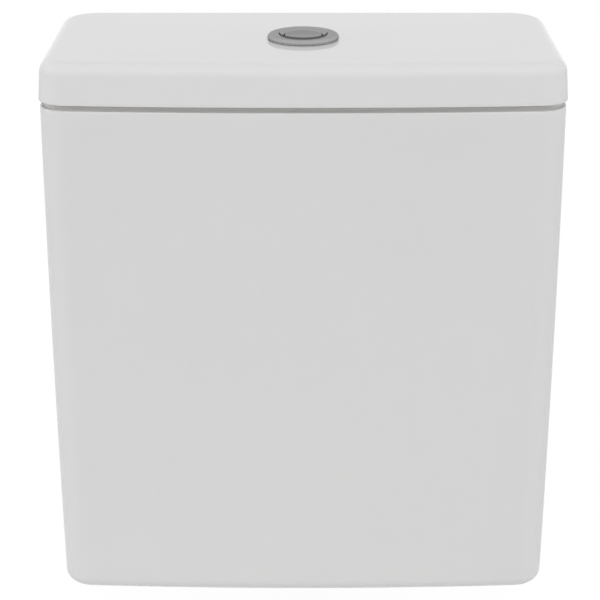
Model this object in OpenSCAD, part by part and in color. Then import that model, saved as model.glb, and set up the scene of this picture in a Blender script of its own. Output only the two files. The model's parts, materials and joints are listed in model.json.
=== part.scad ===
// Close-coupled toilet cistern: ceramic tank and lid, dual flush button, flush valve, fill valve and
// coupling bolts. Millimetres, +Z up, front towards -Y. The origin lies on the axis of the outlet, in
// the plane of the tank's underside.

/* [Tank] */
// Height of the tank from its underside to its rim
tank_h = 368.8; // [340:0.1:400]
// Width of the tank at its rim
tank_w = 358; // [340:1:380]
// How far each side draws in from rim to underside
side_taper = 2; // [0:0.5:6]
// How far the sides swell at mid height
side_bulge = 1; // [0:0.5:3]
// How far the front leans back from rim to underside
front_lean = 4; // [0:0.5:10]
// Bow of the tank's front in plan
tank_bow = 5.5; // [3:0.5:12]
// Radius of the tank's front corners
tank_corner_r = 21; // [18:1:40]
// Radius of the tank's back corners
tank_back_r = 27; // [18:1:40]
// Thickness of the ceramic walls
wall = 10; // [8:0.5:12]
// Thickness of the tank's floor
floor_t = 14; // [10:1:18]
// Radius of the edge round the underside
base_edge_r = 9; // [5:0.5:14]
// Radius of the edge round the shoulder under the lid
rim_edge_r = 1; // [0.5:0.25:2]
// Depth of the rebate round the rim, measured in from the tank's side
rebate_d = 4; // [3:0.25:4.5]
// Height of the rim above the shoulder
rebate_h = 2.9; // [2:0.1:4]
// Radius of the rim's inner edge
rim_inner_r = 2; // [1:0.5:2.5]
// Radius of the cove round the floor inside
cove_r = 10; // [5:1:14]
// Distance between the two wall screws
wall_screw_span = 230; // [180:5:250]
// Height of the wall screws
wall_screw_z = 310; // [280:5:330]
// Radius of the wall screw holes
wall_screw_r = 4.5; // [3:0.5:5]

/* [Lid] */
// How far the lid overhangs the tank's rim
lid_over = 1; // [0.5:0.5:3]
// Depth of the lid at its lower edge
lid_d = 180; // [172:1:200]
// Height of the lid's edge
lid_h = 28.2; // [24:0.1:36]
// Radius of the lid's upper edge
lid_edge_r = 9; // [5:0.5:12]
// Radius of the lid's lower edge
lid_low_r = 0.6; // [0.4:0.1:3]
// How far the lid's sides draw in from lower edge to top
lid_draft = 2; // [0:0.5:4]
// Bow of the lid's front in plan
lid_bow = 6.5; // [3:0.5:12]
// Radius of the lid's front corners
lid_corner_r = 22; // [20:1:40]
// Radius of the lid's back corners
lid_back_r = 28; // [20:1:40]
// Rise of the lid's top from its edge to the button
lid_crown = 0.6; // [0.2:0.1:2]
// Thickness of the lid's top
lid_t = 10; // [8:0.5:13]
// Depth of the locating lip under the lid
lip_h = 7; // [4:0.5:12]
// Thickness of the locating lip
lip_t = 6; // [4:0.5:6]
// Gap between the locating lip and the tank wall
lip_clear = 2; // [1:0.5:2.5]
// Thickness of the rubber pads between lid and rim
pad_t = 1; // [0.5:0.25:2]
// Length of a rubber pad
pad_l = 14; // [8:1:24]
// Width of a rubber pad
pad_w = 3; // [2:0.5:3.5]
// Distance between the pads from side to side
pad_span = 240; // [180:5:270]
// Distance from the lid's front to the outlet's axis
axis_to_front = 88.5; // [84:0.5:94]
// How far the tank's back stands proud of the lid's back
back_proud = 0.5; // [0.2:0.1:2]

/* [Button unit] */
// How far the button's axis lies in front of the outlet's axis
button_off = 7; // [0:0.5:10]
// Outer radius of the button surround
surround_r = 25; // [23:0.5:28]
// Height of the surround's side
surround_edge_t = 1.2; // [1:0.1:3]
// Rise of the surround from its side to its inner edge
surround_rise = 2.2; // [1:0.1:3]
// Width of the surround's round shoulder
shoulder_w = 2.6; // [1.5:0.1:4]
// Fall of the surround's top from its inner edge to the shoulder
shoulder_fall = 0.3; // [0.1:0.1:0.8]
// Chamfer round the surround's lower edge
surround_chamfer = 0.4; // [0.2:0.1:0.45]
// Chamfer round the surround's inner edge
opening_chamfer = 0.6; // [0.3:0.1:1]
// Radius of the opening that holds the buttons
opening_r = 17; // [16:0.25:18]
// Outer radius of the threaded barrel
barrel_r = 19.5; // [19:0.25:21]
// Length of the barrel below the surround's flange
barrel_l = 38; // [32:1:44]
// Gap between the barrel and the hole in the lid
barrel_clear = 0.75; // [0.5:0.25:1.5]
// Thickness of the sealing ring under the surround
ring_t = 0.6; // [0.4:0.1:1.2]
// How far the sealing ring lies inside the surround's edge
ring_inset = 1; // [0.5:0.25:2]
// Outer radius of the clamp nut
clamp_nut_r = 29; // [26:0.5:34]
// Thickness of the clamp nut
clamp_nut_t = 8; // [6:0.5:12]
// Number of grips on the clamp nut
clamp_grips = 8; // [4:1:12]
// Thickness of the guide plate at the barrel's lower end
guide_t = 4; // [3:0.5:6]
// Radius of the full-flush button
full_r = 13; // [12:0.25:14]
// How far the full-flush button sits towards the front
full_offset = 8.5; // [7.5:0.25:9.5]
// Gap between the two buttons
split_gap = 0.4; // [0.3:0.1:0.8]
// Gap between the buttons and the opening
button_gap = 0.3; // [0.3:0.1:0.6]
// Thickness of the buttons
button_t = 7.2; // [6:0.1:9]
// How far the buttons stand above the surround's inner edge
button_proud = 1.2; // [0.5:0.1:2]
// Radius of the push rods
rod_r = 1.8; // [1.5:0.1:1.9]
// Radius of the foot of a push rod
rod_foot_r = 3; // [2.5:0.25:3.5]
// Thickness of the foot of a push rod
rod_foot_t = 2.5; // [2:0.5:4]
// Distance of the full-flush rod from the button's axis
full_rod_off = 6; // [4:0.5:8]
// Mean radius of the return springs
spring_r = 2.55; // [2.5:0.05:2.6]
// Radius of the spring wire
spring_wire_r = 0.4; // [0.3:0.05:0.4]
// Gap at the ends of a return spring
spring_gap = 0.1; // [0.05:0.05:0.2]
// Number of curls in a return spring
spring_curls = 8; // [6:1:12]

/* [Flush valve] */
// Outer radius of the threaded tail
tail_r = 29.8; // [29:0.1:31]
// Radius of the spigot below the thread
spigot_r = 28.5; // [28:0.1:28.8]
// Length of the spigot
spigot_l = 12; // [8:1:20]
// Radius of the outlet bore
outlet_r = 25; // [24:0.25:26]
// Narrowing of the bore below the valve seat
throat_step = 1; // [0.5:0.25:2]
// Length of the thread left free below the back nut
thread_free = 2; // [1:0.5:6]
// Radius of the base flange
base_flange_r = 44; // [42:0.5:48]
// Thickness of the base flange
base_flange_t = 4; // [3:0.5:6]
// Thickness of the washer under the base flange
base_washer_t = 3; // [2:0.5:5]
// How far a flange reaches past its washer
flange_rim = 1.5; // [0.5:0.25:3]
// Height of the valve seat above the base flange
seat_h = 2; // [1.5:0.5:3]
// Width of the valve seat
seat_w = 3; // [2:0.5:3.5]
// Gap between the tail and the hole in the floor
tail_clear = 1.2; // [0.8:0.1:2]
// Thickness of the back nut
tail_nut_t = 12; // [9:1:14]
// Outer radius of the back nut
tail_nut_r = 42; // [38:0.5:44]
// Number of grips on the back nut
tail_nut_grips = 10; // [6:1:16]
// Width of the foam sealing ring
foam_w = 9; // [6:0.5:12]
// Height of the foam sealing ring
foam_h = 14; // [13:0.5:24]
// Gap between the foam sealing ring and the back nut
foam_clear = 1; // [0.5:0.25:2]
// Width of the cage's foot
cage_foot_w = 4; // [3:0.5:5]
// Thickness of the cage's foot
cage_foot_t = 3; // [2:0.5:4]
// Width of the clips that hold the cage's foot
clip_w = 12; // [8:1:16]
// Thickness of the clips' hooks
clip_t = 4; // [3:0.5:6]
// Overlap of the clips' hooks over the cage's foot
clip_hook = 2; // [1:0.25:3]
// Outer radius of the cage
cage_r = 34; // [33:0.5:36]
// Thickness of the cage's wall
cage_wall = 3; // [2:0.5:3.5]
// Height of the cage's top
cage_top = 228; // [200:2:240]
// Thickness of the cage's roof
cage_roof_t = 4; // [3:0.5:6]
// Width of the slots in the cage's upper part
slot_w = 12; // [8:1:16]
// Width of the water windows
window_w = 38; // [30:1:42]
// Height of the water windows
window_h = 62; // [40:2:90]
// Outer radius of the overflow tube
stem_r = 17; // [15:0.5:18]
// Wall of the overflow tube
stem_wall = 2; // [1.5:0.25:3]
// Height of the overflow edge
stem_top = 268; // [262:1:272]
// Gap between moving pieces that touch in use
contact_gap = 0.3; // [0.2:0.05:0.5]
// How far the overflow tube reaches below the valve seat
stem_drop = 4; // [3.5:0.25:6]
// Thickness of the overflow tube's foot
stem_foot_t = 3; // [2:0.5:5]
// How far the main seal reaches past the overflow tube's foot
seal_lip = 2; // [1:0.25:3]
// Gap between the main seal and its seat
seal_gap = 0.1; // [0.05:0.05:0.2]
// Thickness of the main seal
seal_t = 2.5; // [2:0.25:4]
// Outer radius of the main seal
seal_r = 29; // [28.5:0.25:30]
// Thickness of the retainer under the main seal
retainer_t = 3.5; // [2.5:0.25:4]
// Outer radius of the flush float
flush_float_r = 27; // [24:0.5:29]
// Height of the flush float
flush_float_h = 50; // [40:1:70]
// Height of the flush float's underside
flush_float_z = 112; // [104:1:130]
// Height of the rocker pivots
rocker_z = 306; // [302:1:312]
// Length of the rocker arm under the push rod
arm_in = 18; // [17:0.5:22]
// Length of the rocker arm that lifts
arm_out = 26; // [20:0.5:30]
// Thickness of the rocker arms
rocker_t = 4; // [3:0.5:5]
// Width of the rocker arms
rocker_w = 8; // [6:0.5:10]
// Radius of the rocker tips
tip_r = 3; // [2.5:0.25:3.5]
// Width of the rocker tips
tip_w = 12; // [10:0.5:14]
// Radius of the rocker pins
pin_r = 2; // [1.5:0.25:2.5]
// Wall of the rocker hubs round their pins
hub_wall = 2.5; // [2:0.25:3]
// Play of the rocker hubs between the cheeks
hub_play = 0.5; // [0.3:0.1:1]
// How far the rocker pins stand out of the cheeks
pin_out = 1; // [0.5:0.25:2]
// Running clearance round a pin
pin_clear = 0.05; // [0.02:0.01:0.1]
// Distance of the bracket's cheeks from the axis
cheek_x = 30; // [29:0.5:32]
// Thickness of the bracket's cheeks
cheek_t = 3; // [2:0.5:4]
// Wall of the cheeks round the hubs
cheek_margin = 3; // [2:0.5:5]
// Width of the cheeks' lower ribs
cheek_rib = 6; // [4:0.5:8]
// How far the bracket's base ring reaches past the cage
bracket_lap = 2; // [1:0.5:3]
// Thickness of the bracket's base ring
bracket_base_t = 8; // [5:0.5:10]
// Thickness of the lifting yoke and strap
yoke_t = 5; // [3:0.5:6]
// Width of the yoke's ring
yoke_ring_w = 6; // [4:0.5:7]
// Width of the strap's ring
strap_ring_w = 7; // [4:0.5:8]
// Gap between the overflow tube and the yoke or the bracket
stem_clear = 2; // [1:0.25:3]
// Thickness of the bars that the rockers lift
bar_t = 4; // [3:0.5:6]
// How far the bars reach past the rocker tips
bar_lap = 1; // [0.5:0.25:2]
// Gap between the rocker tips and the legs
leg_clear = 2; // [1:0.25:3]
// Width of the legs of the yoke and strap
leg_w = 4; // [3:0.5:5]
// Thickness of the legs of the yoke and strap
leg_t = 4; // [3:0.5:6]

/* [Fill valve] */
// Distance of the fill valve from the tank's left side
fill_side = 57; // [52:1:62]
// Distance of the fill valve behind the axis
fill_y = 12; // [0:1:20]
// Radius of the threaded inlet tail
inlet_r = 10.48; // [10:0.02:11]
// Length of the inlet tail below its nut's thread
inlet_l = 28; // [20:1:36]
// Width of the groove between nut thread and inlet thread
inlet_groove = 2; // [1:0.5:3]
// Depth of the inlet's thread
inlet_thread = 1; // [0.5:0.1:1.5]
// Radius of the inlet's water way
water_r = 6; // [5:0.25:7]
// Thickness of the inlet's back nut
shank_nut_t = 12; // [8:1:14]
// Radius across the corners of the inlet's back nut
shank_nut_r = 18; // [16:0.5:20]
// Radius of the shank's flange
shank_flange_r = 19; // [17:0.5:22]
// Thickness of the shank's flange
shank_flange_t = 4; // [3:0.5:6]
// Thickness of the washer under the shank's flange
shank_washer_t = 3; // [2:0.5:5]
// Radius of the shank above its flange
shank_r = 14; // [13.5:0.25:16]
// Height of the shank above its flange
shank_h = 40; // [30:1:60]
// Height of the riser's seat above the shank's flange
riser_seat = 10; // [6:1:16]
// Outer radius of the riser
riser_r = 11; // [10:0.25:12]
// Wall of the riser
riser_wall = 3; // [2:0.25:4]
// Height of the lock ring
lock_ring_h = 10; // [6:1:16]
// Thickness of the lock ring's wall
lock_ring_wall = 3; // [2:0.5:5]
// Height of the float's stop on the riser
float_stop_z = 180; // [170:1:186]
// Width of the float's stop
float_stop_w = 3; // [1.5:0.25:4]
// Thickness of the float's stop
float_stop_t = 4; // [3:0.5:6]
// Outer radius of the float
float_r = 30; // [26:0.5:32]
// Height of the float
float_h = 60; // [50:1:60]
// Wall of the float
float_wall = 2; // [1.5:0.25:3]
// Sliding gap between float and riser
float_clear = 0.4; // [0.3:0.05:0.8]
// Width of the float's lug
lug_w = 12; // [10:0.5:16]
// Thickness of the float's lug
lug_t = 5; // [4:0.5:8]
// How far the float's lug lies below the float's top
lug_drop = 22; // [16:1:30]
// Radius of the level adjuster
adjuster_r = 6; // [5:0.25:7]
// Height of the level adjuster
adjuster_t = 5; // [4:0.5:8]
// Travel of the float
float_travel = 16; // [10:1:16]
// Underside of the valve head
head_z = 258; // [256:1:266]
// Outer radius of the valve head
head_r = 20; // [18:0.5:22]
// Height of the valve head
head_h = 30; // [26:1:34]
// Depth of the riser's socket in the head
socket_d = 10; // [8:0.5:12]
// Floor of the head's chamber above the socket
head_floor = 5; // [3:0.5:7]
// Wall of the head round its chamber
head_wall = 4; // [3:0.5:5]
// Wall of the nozzle under the diaphragm
nozzle_wall = 2; // [1.5:0.25:3]
// Thickness of the diaphragm
diaphragm_t = 2; // [1:0.25:3]
// Wall of the cap
cap_wall = 2; // [1.5:0.25:3]
// How far the cap reaches down over the head
cap_skirt = 8; // [5:0.5:12]
// Thickness of the cap's top
cap_t = 4; // [3:0.5:6]
// Width of the cap's seat on the diaphragm
cap_seat = 6; // [4:0.5:8]
// Width of the lever's ears
ear_w = 8; // [7:0.5:10]
// Thickness of the lever's ears
ear_t = 3; // [2:0.25:4]
// Gap between lever and ears
ear_play = 0.5; // [0.3:0.1:1]
// Radius of the pilot nozzle on the cap
pilot_r = 2; // [1.5:0.25:2.5]
// Height of the cap above the diaphragm
cap_h = 10; // [8:1:14]
// Height of the lever pivot above the cap
lever_rise = 10; // [9:0.5:14]
// Distance of the lever pivot from the riser's axis
lever_back = 6; // [4:0.5:8]
// Length of the lever's float arm
lever_long = 46; // [44:0.5:48]
// Length of the lever's pilot arm
lever_short = 10; // [8:0.5:12]
// Thickness of the lever
lever_t = 4; // [3:0.5:5]
// Width of the lever at its hub
lever_w = 12; // [10:0.5:14]
// Width of the lever's float arm
lever_arm_w = 8; // [6:0.5:9]
// How far the pilot arm reaches past the pilot nozzle
pilot_lap = 3; // [2.5:0.25:4]
// Wall of the lever's hub and eye
lever_wall = 2; // [1.5:0.25:2.5]
// Gap round the float rod in the lever's eye
eye_gap = 1.4; // [1.3:0.1:1.8]
// How far the float rod reaches below its lug
rod_tail = 12; // [8:1:20]
// How far the float rod reaches above its upper collar
rod_tip = 8; // [4:1:12]
// Radius of the float rod
float_rod_r = 2; // [1.5:0.25:2.5]
// Radius of the collars on the float rod
rod_collar_r = 4; // [3.5:0.25:5]
// Thickness of the collars on the float rod
rod_collar_t = 3; // [2:0.5:4]
// Gap between a collar and the lever
collar_gap = 0.9; // [0.8:0.1:1.5]

/* [Coupling bolts] */
// Distance between the coupling bolts
bolt_span = 150; // [146:1:170]
// Radius of the bolts' shanks
bolt_r = 4; // [3:0.25:5]
// Depth of the bolts' free thread
bolt_thread_d = 0.4; // [0.2:0.05:0.6]
// Length of the free thread below the nuts
bolt_free_l = 26; // [16:1:60]
// Radius of the bolt holes in the floor
bolt_hole_r = 6; // [5.5:0.25:7]
// Thickness of the rubber washers
rubber_t = 4; // [2:0.5:6]
// Radius of the rubber washers
rubber_r = 14; // [10:0.5:14.5]
// Thickness of the steel washers
steel_t = 2; // [1:0.25:3]
// Radius of the steel washers
steel_r = 12; // [9:0.5:14]
// Height of the bolt heads
bolt_head_t = 6; // [4:0.5:8]
// Radius of the bolt heads and nuts across their corners
bolt_hex_r = 7.5; // [6:0.25:9]
// Height of the nuts
bolt_nut_t = 7; // [5:0.5:9]

/* [Hidden] */
$fn = 64;

// Overlap of a cutting tool past the face that it cuts
cut = 1;
// Steps along the bowed front, round a corner, round an edge and round a small edge
bow_steps = 4;
corner_steps = 6;
edge_steps = 4;
small_steps = 2;
// Steps up the outside of the walls, down their inside and round the lid's upper edge
wall_steps = 5;
inner_steps = 4;
lid_edge_steps = 6;
// Least corner radius left inside a wall
least_corner = 0.8;
// Share of the lid's top that is flat under the surround
flat_share = 0.4;

lid_w = tank_w + 2 * lid_over;
lid_front = -axis_to_front;
lid_back = lid_front + lid_d;
lid_z = tank_h + pad_t;
lid_top = lid_z + lid_h;
lid_seat = lid_top + lid_crown;
lid_ceiling = lid_top - lid_t;
tank_front = lid_front + lid_over;
tank_back = lid_back + back_proud;
rim_mid = (rebate_d + wall - rim_inner_r) / 2;
lip_outset = lid_over + wall + lip_clear;

flange_z = lid_seat + ring_t;
surround_top = flange_z + surround_edge_t + surround_rise;
barrel_end = flange_z - barrel_l;
button_top = surround_top + button_proud;
button_z = button_top - button_t;
guide_z = barrel_end;
spring_z = guide_z + guide_t;
rod_foot_z = rocker_z + tip_r + contact_gap;
half_rod_off = (full_r - full_offset + split_gap + opening_r - button_gap) / 2;
full_rod_y = -button_off - full_rod_off;
half_rod_y = -button_off + half_rod_off;

cage_foot_r = cage_r + cage_foot_w;
base_z = floor_t + base_washer_t;
flange_top = base_z + base_flange_t;
seat_z = flange_top + seat_h;
seal_z = seat_z + seal_gap;
stem_foot_z = seal_z + seal_t;
thread_end = -tail_nut_t - thread_free;
tail_end = thread_end - spigot_l;
throat_r = outlet_r - throat_step;
bracket_z = cage_top;
yoke_z = bracket_z + bracket_base_t;
strap_z = yoke_z + yoke_t + contact_gap;
full_pivot_y = full_rod_y - arm_in;
half_pivot_y = half_rod_y + arm_in;
hub_r = pin_r + hub_wall;
hub_l = 2 * (cheek_x - cheek_t / 2 - hub_play);
lift_bar_z = rocker_z + tip_r + contact_gap;
leg_x = tip_w / 2 + leg_clear;

fill_x = tank_w / 2 - fill_side;
shank_z = floor_t + shank_washer_t;
shank_top = shank_z + shank_flange_t + shank_h;
riser_z = shank_z + shank_flange_t + riser_seat;
inlet_end = -shank_nut_t - inlet_groove - inlet_l;
head_top = head_z + head_h;
cap_top = head_top + diaphragm_t + cap_h;
lever_z = cap_top + lever_rise;
lever_tilt = asin(float_travel / 2 / lever_long);
float_rod_x = lever_long - lever_back;
lever_end_z = lever_z - float_travel / 2;
nut_low = -rubber_t - steel_t - bolt_nut_t;
bolt_thread_r = bolt_r - bolt_thread_d;
lug_z = float_stop_z + float_h - lug_drop;

// Outline of one half of the plan, from the middle of the front round to the back: a bowed front,
// a front corner, a straight side and a back corner.
function half_plan(hw, yf, yb, bow, rf, rb) =
  let (
    bow_r = (hw * hw + bow * bow) / (2 * bow),
    yc = yf + bow_r,
    cx = hw - rf,
    cy = yc - sqrt(pow(bow_r - rf, 2) - cx * cx),
    a0 = atan2(cx, yc - cy)
  )
  concat(
    [for (i = [0:bow_steps]) let (a = a0 * i / bow_steps) [bow_r * sin(a), yc - bow_r * cos(a)]],
    [for (i = [1:corner_steps]) let (a = a0 + (90 - a0) * i / corner_steps)
      [cx + rf * sin(a), cy - rf * cos(a)]],
    [for (i = [0:corner_steps]) let (a = 90 * i / corner_steps)
      [hw - rb + rb * cos(a), yb - rb + rb * sin(a)]]
  );

// The whole outline at one height, as points in space.
function ring(half, z) =
  concat(
    [for (p = half) [p[0], p[1], z]],
    [for (i = [len(half) - 1:-1:1]) [-half[i][0], half[i][1], z]]
  );

// Outline of the tank at height z, drawn in by an inset.
function tank_ring(z, inset) =
  let (
    t = (tank_h - z) / tank_h,
    hw = tank_w / 2 - side_taper * t + 4 * side_bulge * t * (1 - t) - inset
  )
  ring(
    half_plan(
      hw, tank_front + front_lean * t + inset, tank_back - inset, tank_bow,
      max(tank_corner_r - inset, least_corner), max(tank_back_r - inset, least_corner)
    ),
    z
  );

// Outline of the lid at height z, drawn in by an inset.
function lid_ring(z, inset) =
  ring(
    half_plan(
      lid_w / 2 - inset, lid_front + inset, lid_back - inset, lid_bow,
      max(lid_corner_r - inset, least_corner), max(lid_back_r - inset, least_corner)
    ),
    z
  );

// A closed solid through a row of outlines, with flat ends.
module loft(rings) {
  n = len(rings[0]);
  last = len(rings) - 1;
  points = [for (r = rings) for (p = r) p];
  sides = [
    for (k = [0:last - 1])
      for (i = [0:n - 1])
        let (j = (i + 1) % n)
          for (f = [[k * n + i, k * n + n + i, k * n + n + j], [k * n + i, k * n + n + j, k * n + j]])
            f
  ];
  start = [[for (i = [0:n - 1]) i]];
  end = [[for (i = [n - 1:-1:0]) last * n + i]];
  polyhedron(points, concat(sides, start, end), convexity = 6);
}

// A flat ring or tube between two radii.
module tube(r_in, r_out, z, h) {
  translate([0, 0, z])
    difference() {
      cylinder(r = r_out, h = h);
      translate([0, 0, -cut])
        cylinder(r = r_in, h = h + 2 * cut);
    }
}

// A flat shape in Y and Z, carried along X about its middle.
module along_x(length) {
  rotate([90, 0, 90])
    linear_extrude(height = length, center = true)
      children();
}

// A flat shape in X and Z, carried along Y about its middle.
module along_y(length) {
  rotate([90, 0, 0])
    linear_extrude(height = length, center = true)
      children();
}

// Places a piece at each coupling bolt.
module at_bolts() {
  for (side = [-1, 1])
    translate([side * bolt_span / 2, 0, 0])
      children();
}

// Moves a piece to the button's axis.
module at_button() {
  translate([0, -button_off, 0])
    children();
}

// Moves a piece to the fill valve's axis.
module at_fill() {
  translate([-fill_x, fill_y, 0])
    children();
}

module tank() {
  wall_low = base_edge_r;
  shoulder_z = tank_h - rebate_h;
  wall_high = shoulder_z - rim_edge_r;
  inner_high = tank_h - rim_inner_r;
  inner_low = floor_t + cove_r;
  color("whitesmoke")
    difference() {
      loft(concat(
        [for (i = [0:edge_steps]) let (a = 90 * i / edge_steps)
          tank_ring(base_edge_r * (1 - cos(a)), base_edge_r * (1 - sin(a)))],
        [for (i = [1:wall_steps]) tank_ring(wall_low + (wall_high - wall_low) * i / wall_steps, 0)],
        [for (i = [1:small_steps]) let (a = 90 * i / small_steps)
          tank_ring(wall_high + rim_edge_r * sin(a), rim_edge_r * (1 - cos(a)))],
        [tank_ring(shoulder_z, rebate_d), tank_ring(tank_h, rebate_d)],
        [for (i = [0:small_steps]) let (a = 90 * i / small_steps)
          tank_ring(inner_high + rim_inner_r * cos(a), wall - rim_inner_r * (1 - sin(a)))],
        [for (i = [1:inner_steps]) tank_ring(inner_high + (inner_low - inner_high) * i / inner_steps, wall)],
        [for (i = [1:edge_steps]) let (a = 90 * i / edge_steps)
          tank_ring(inner_low - cove_r * sin(a), wall + cove_r * (1 - cos(a)))]
      ));
      translate([0, 0, -cut])
        cylinder(r = tail_r + tail_clear, h = floor_t + 2 * cut);
      at_bolts()
        translate([0, 0, -cut])
          cylinder(r = bolt_hole_r, h = floor_t + 2 * cut);
      at_fill()
        translate([0, 0, -cut])
          cylinder(r = inlet_r + tail_clear, h = floor_t + 2 * cut);
      for (side = [-1, 1])
        translate([side * wall_screw_span / 2, tank_back + cut, wall_screw_z])
          rotate([90, 0, 0])
            cylinder(r = wall_screw_r, h = wall + 2 * cut);
    }
}

module lid() {
  edge_low = lid_top - lid_edge_r;
  edge_inset = lid_draft * (lid_h - lid_edge_r) / lid_h;
  top_half = lid_ring(lid_top, edge_inset + lid_edge_r);
  crown_shares = [0.8, 0.6, flat_share];
  color("whitesmoke")
    difference() {
      loft(concat(
        [
          lid_ring(lid_ceiling, lip_outset + lip_t),
          lid_ring(lid_z - lip_h, lip_outset + lip_t),
          lid_ring(lid_z - lip_h, lip_outset),
          lid_ring(lid_z, lip_outset)
        ],
        [for (i = [0:small_steps]) let (a = 90 * i / small_steps)
          lid_ring(lid_z + lid_low_r * (1 - cos(a)), lid_low_r * (1 - sin(a)))],
        [for (i = [0:lid_edge_steps]) let (a = 90 * i / lid_edge_steps)
          lid_ring(edge_low + lid_edge_r * sin(a), edge_inset + lid_edge_r * (1 - cos(a)))],
        [for (s = crown_shares)
          [for (p = top_half)
            [
              p[0] * s,
              (p[1] + button_off) * s - button_off,
              lid_top + lid_crown * (1 - s * s) / (1 - flat_share * flat_share)
            ]]]
      ));
      at_button()
        translate([0, 0, lid_z])
          cylinder(r = barrel_r + barrel_clear, h = lid_h + lid_crown + cut);
    }
}

module lid_pads() {
  half_w = tank_w / 2 - rim_mid;
  front_r = (half_w * half_w + tank_bow * tank_bow) / (2 * tank_bow);
  front_y = tank_front + rim_mid + front_r - sqrt(front_r * front_r - pow(pad_span / 2, 2));
  color("lightgray")
    for (side = [-1, 1])
      for (y = [front_y, tank_back - rim_mid])
        translate([side * pad_span / 2 - pad_l / 2, y - pad_w / 2, tank_h])
          cube([pad_l, pad_w, pad_t]);
}

module button_surround() {
  side_top = flange_z + surround_edge_t;
  shoulder_h = surround_rise - shoulder_fall;
  color("silver")
    at_button()
      rotate_extrude()
        polygon(concat(
          [
            [opening_r, barrel_end],
            [barrel_r, barrel_end],
            [barrel_r, flange_z],
            [surround_r - surround_chamfer, flange_z],
            [surround_r, flange_z + surround_chamfer]
          ],
          [for (i = [0:edge_steps]) let (a = 90 * i / edge_steps)
            [surround_r - shoulder_w * (1 - cos(a)), side_top + shoulder_h * sin(a)]],
          [
            [opening_r + opening_chamfer, surround_top],
            [opening_r, surround_top - opening_chamfer]
          ]
        ));
}

module surround_seal() {
  color("gainsboro")
    at_button()
      tube(barrel_r, surround_r - ring_inset, lid_seat, ring_t);
}

module clamp_nut() {
  nut_z = lid_ceiling - clamp_nut_t;
  grip_w = 5;
  grip_d = 3;
  grip_root = 1;
  color("white")
    at_button()
      union() {
        tube(barrel_r, clamp_nut_r - grip_d, nut_z, clamp_nut_t);
        for (i = [0:clamp_grips - 1])
          rotate([0, 0, 360 * i / clamp_grips])
            translate([clamp_nut_r - grip_d - grip_root, -grip_w / 2, nut_z])
              cube([grip_d + grip_root, grip_w, clamp_nut_t - grip_root]);
      }
}

module guide_plate() {
  color("white")
    difference() {
      at_button()
        translate([0, 0, guide_z])
          cylinder(r = opening_r, h = guide_t);
      for (y = [full_rod_y, half_rod_y])
        translate([0, y, guide_z - cut])
          cylinder(r = rod_r + contact_gap, h = guide_t + 2 * cut);
    }
}

module full_flush_button() {
  color("silver")
    at_button()
      intersection() {
        translate([0, -full_offset, button_z])
          cylinder(r = full_r, h = button_t);
        translate([0, 0, button_z])
          cylinder(r = opening_r - button_gap, h = button_t);
      }
}

module half_flush_button() {
  color("silver")
    at_button()
      difference() {
        translate([0, 0, button_z])
          cylinder(r = opening_r - button_gap, h = button_t);
        translate([0, -full_offset, button_z - cut])
          cylinder(r = full_r + split_gap, h = button_t + 2 * cut);
        translate([-opening_r, -full_offset - opening_r, button_z - cut])
          cube([2 * opening_r, opening_r, button_t + 2 * cut]);
      }
}

// A push rod with the foot that bears on its rocker.
module push_rod(y) {
  color("dodgerblue")
    translate([0, y, 0])
      union() {
        translate([0, 0, rod_foot_z])
          cylinder(r = rod_foot_r, h = rod_foot_t);
        translate([0, 0, rod_foot_z])
          cylinder(r = rod_r, h = button_z - rod_foot_z);
      }
}

module full_push_rod() {
  push_rod(full_rod_y);
}

module half_push_rod() {
  push_rod(half_rod_y);
}

// Middle line of a return spring, counted in eighths of a curl.
spring_rings = spring_curls * 8;
spring_low = spring_z + spring_wire_r + spring_gap;
spring_high = button_z - spring_wire_r - spring_gap;
function spring_point(i) = [
  spring_r * cos(45 * i), spring_r * sin(45 * i), spring_low + (spring_high - spring_low) * i / spring_rings
];
spring_gaps = [
  for (i = [0:spring_rings - 5])
    for (j = [i + 5:spring_rings])
      norm(spring_point(i) - spring_point(j)) - 2 * spring_wire_r
];
echo(least_spring_gap = min(spring_gaps));

// A return spring as one unbroken tube of six sides.
module spring(y) {
  wire_sides = 6;
  points = [
    for (i = [0:spring_rings])
      let (c = spring_point(i), out = [cos(45 * i), sin(45 * i), 0])
        for (s = [0:wire_sides - 1])
          c + spring_wire_r * cos(60 * s) * out + [0, 0, spring_wire_r * sin(60 * s)]
  ];
  faces = [
    for (i = [0:spring_rings - 1])
      for (s = [0:wire_sides - 1])
        let (a = i * wire_sides + s, b = i * wire_sides + (s + 1) % wire_sides)
          for (f = [[a, a + wire_sides, b + wire_sides], [a, b + wire_sides, b]])
            f
  ];
  start = [for (s = [1:wire_sides - 2]) [0, s, s + 1]];
  end = [for (s = [1:wire_sides - 2])
    [spring_rings * wire_sides, spring_rings * wire_sides + s + 1, spring_rings * wire_sides + s]];
  color("gray")
    translate([0, y, 0])
      polyhedron(points, concat(faces, start, end), convexity = 10);
}

module full_spring() {
  spring(full_rod_y);
}

module half_spring() {
  spring(half_rod_y);
}

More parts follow.
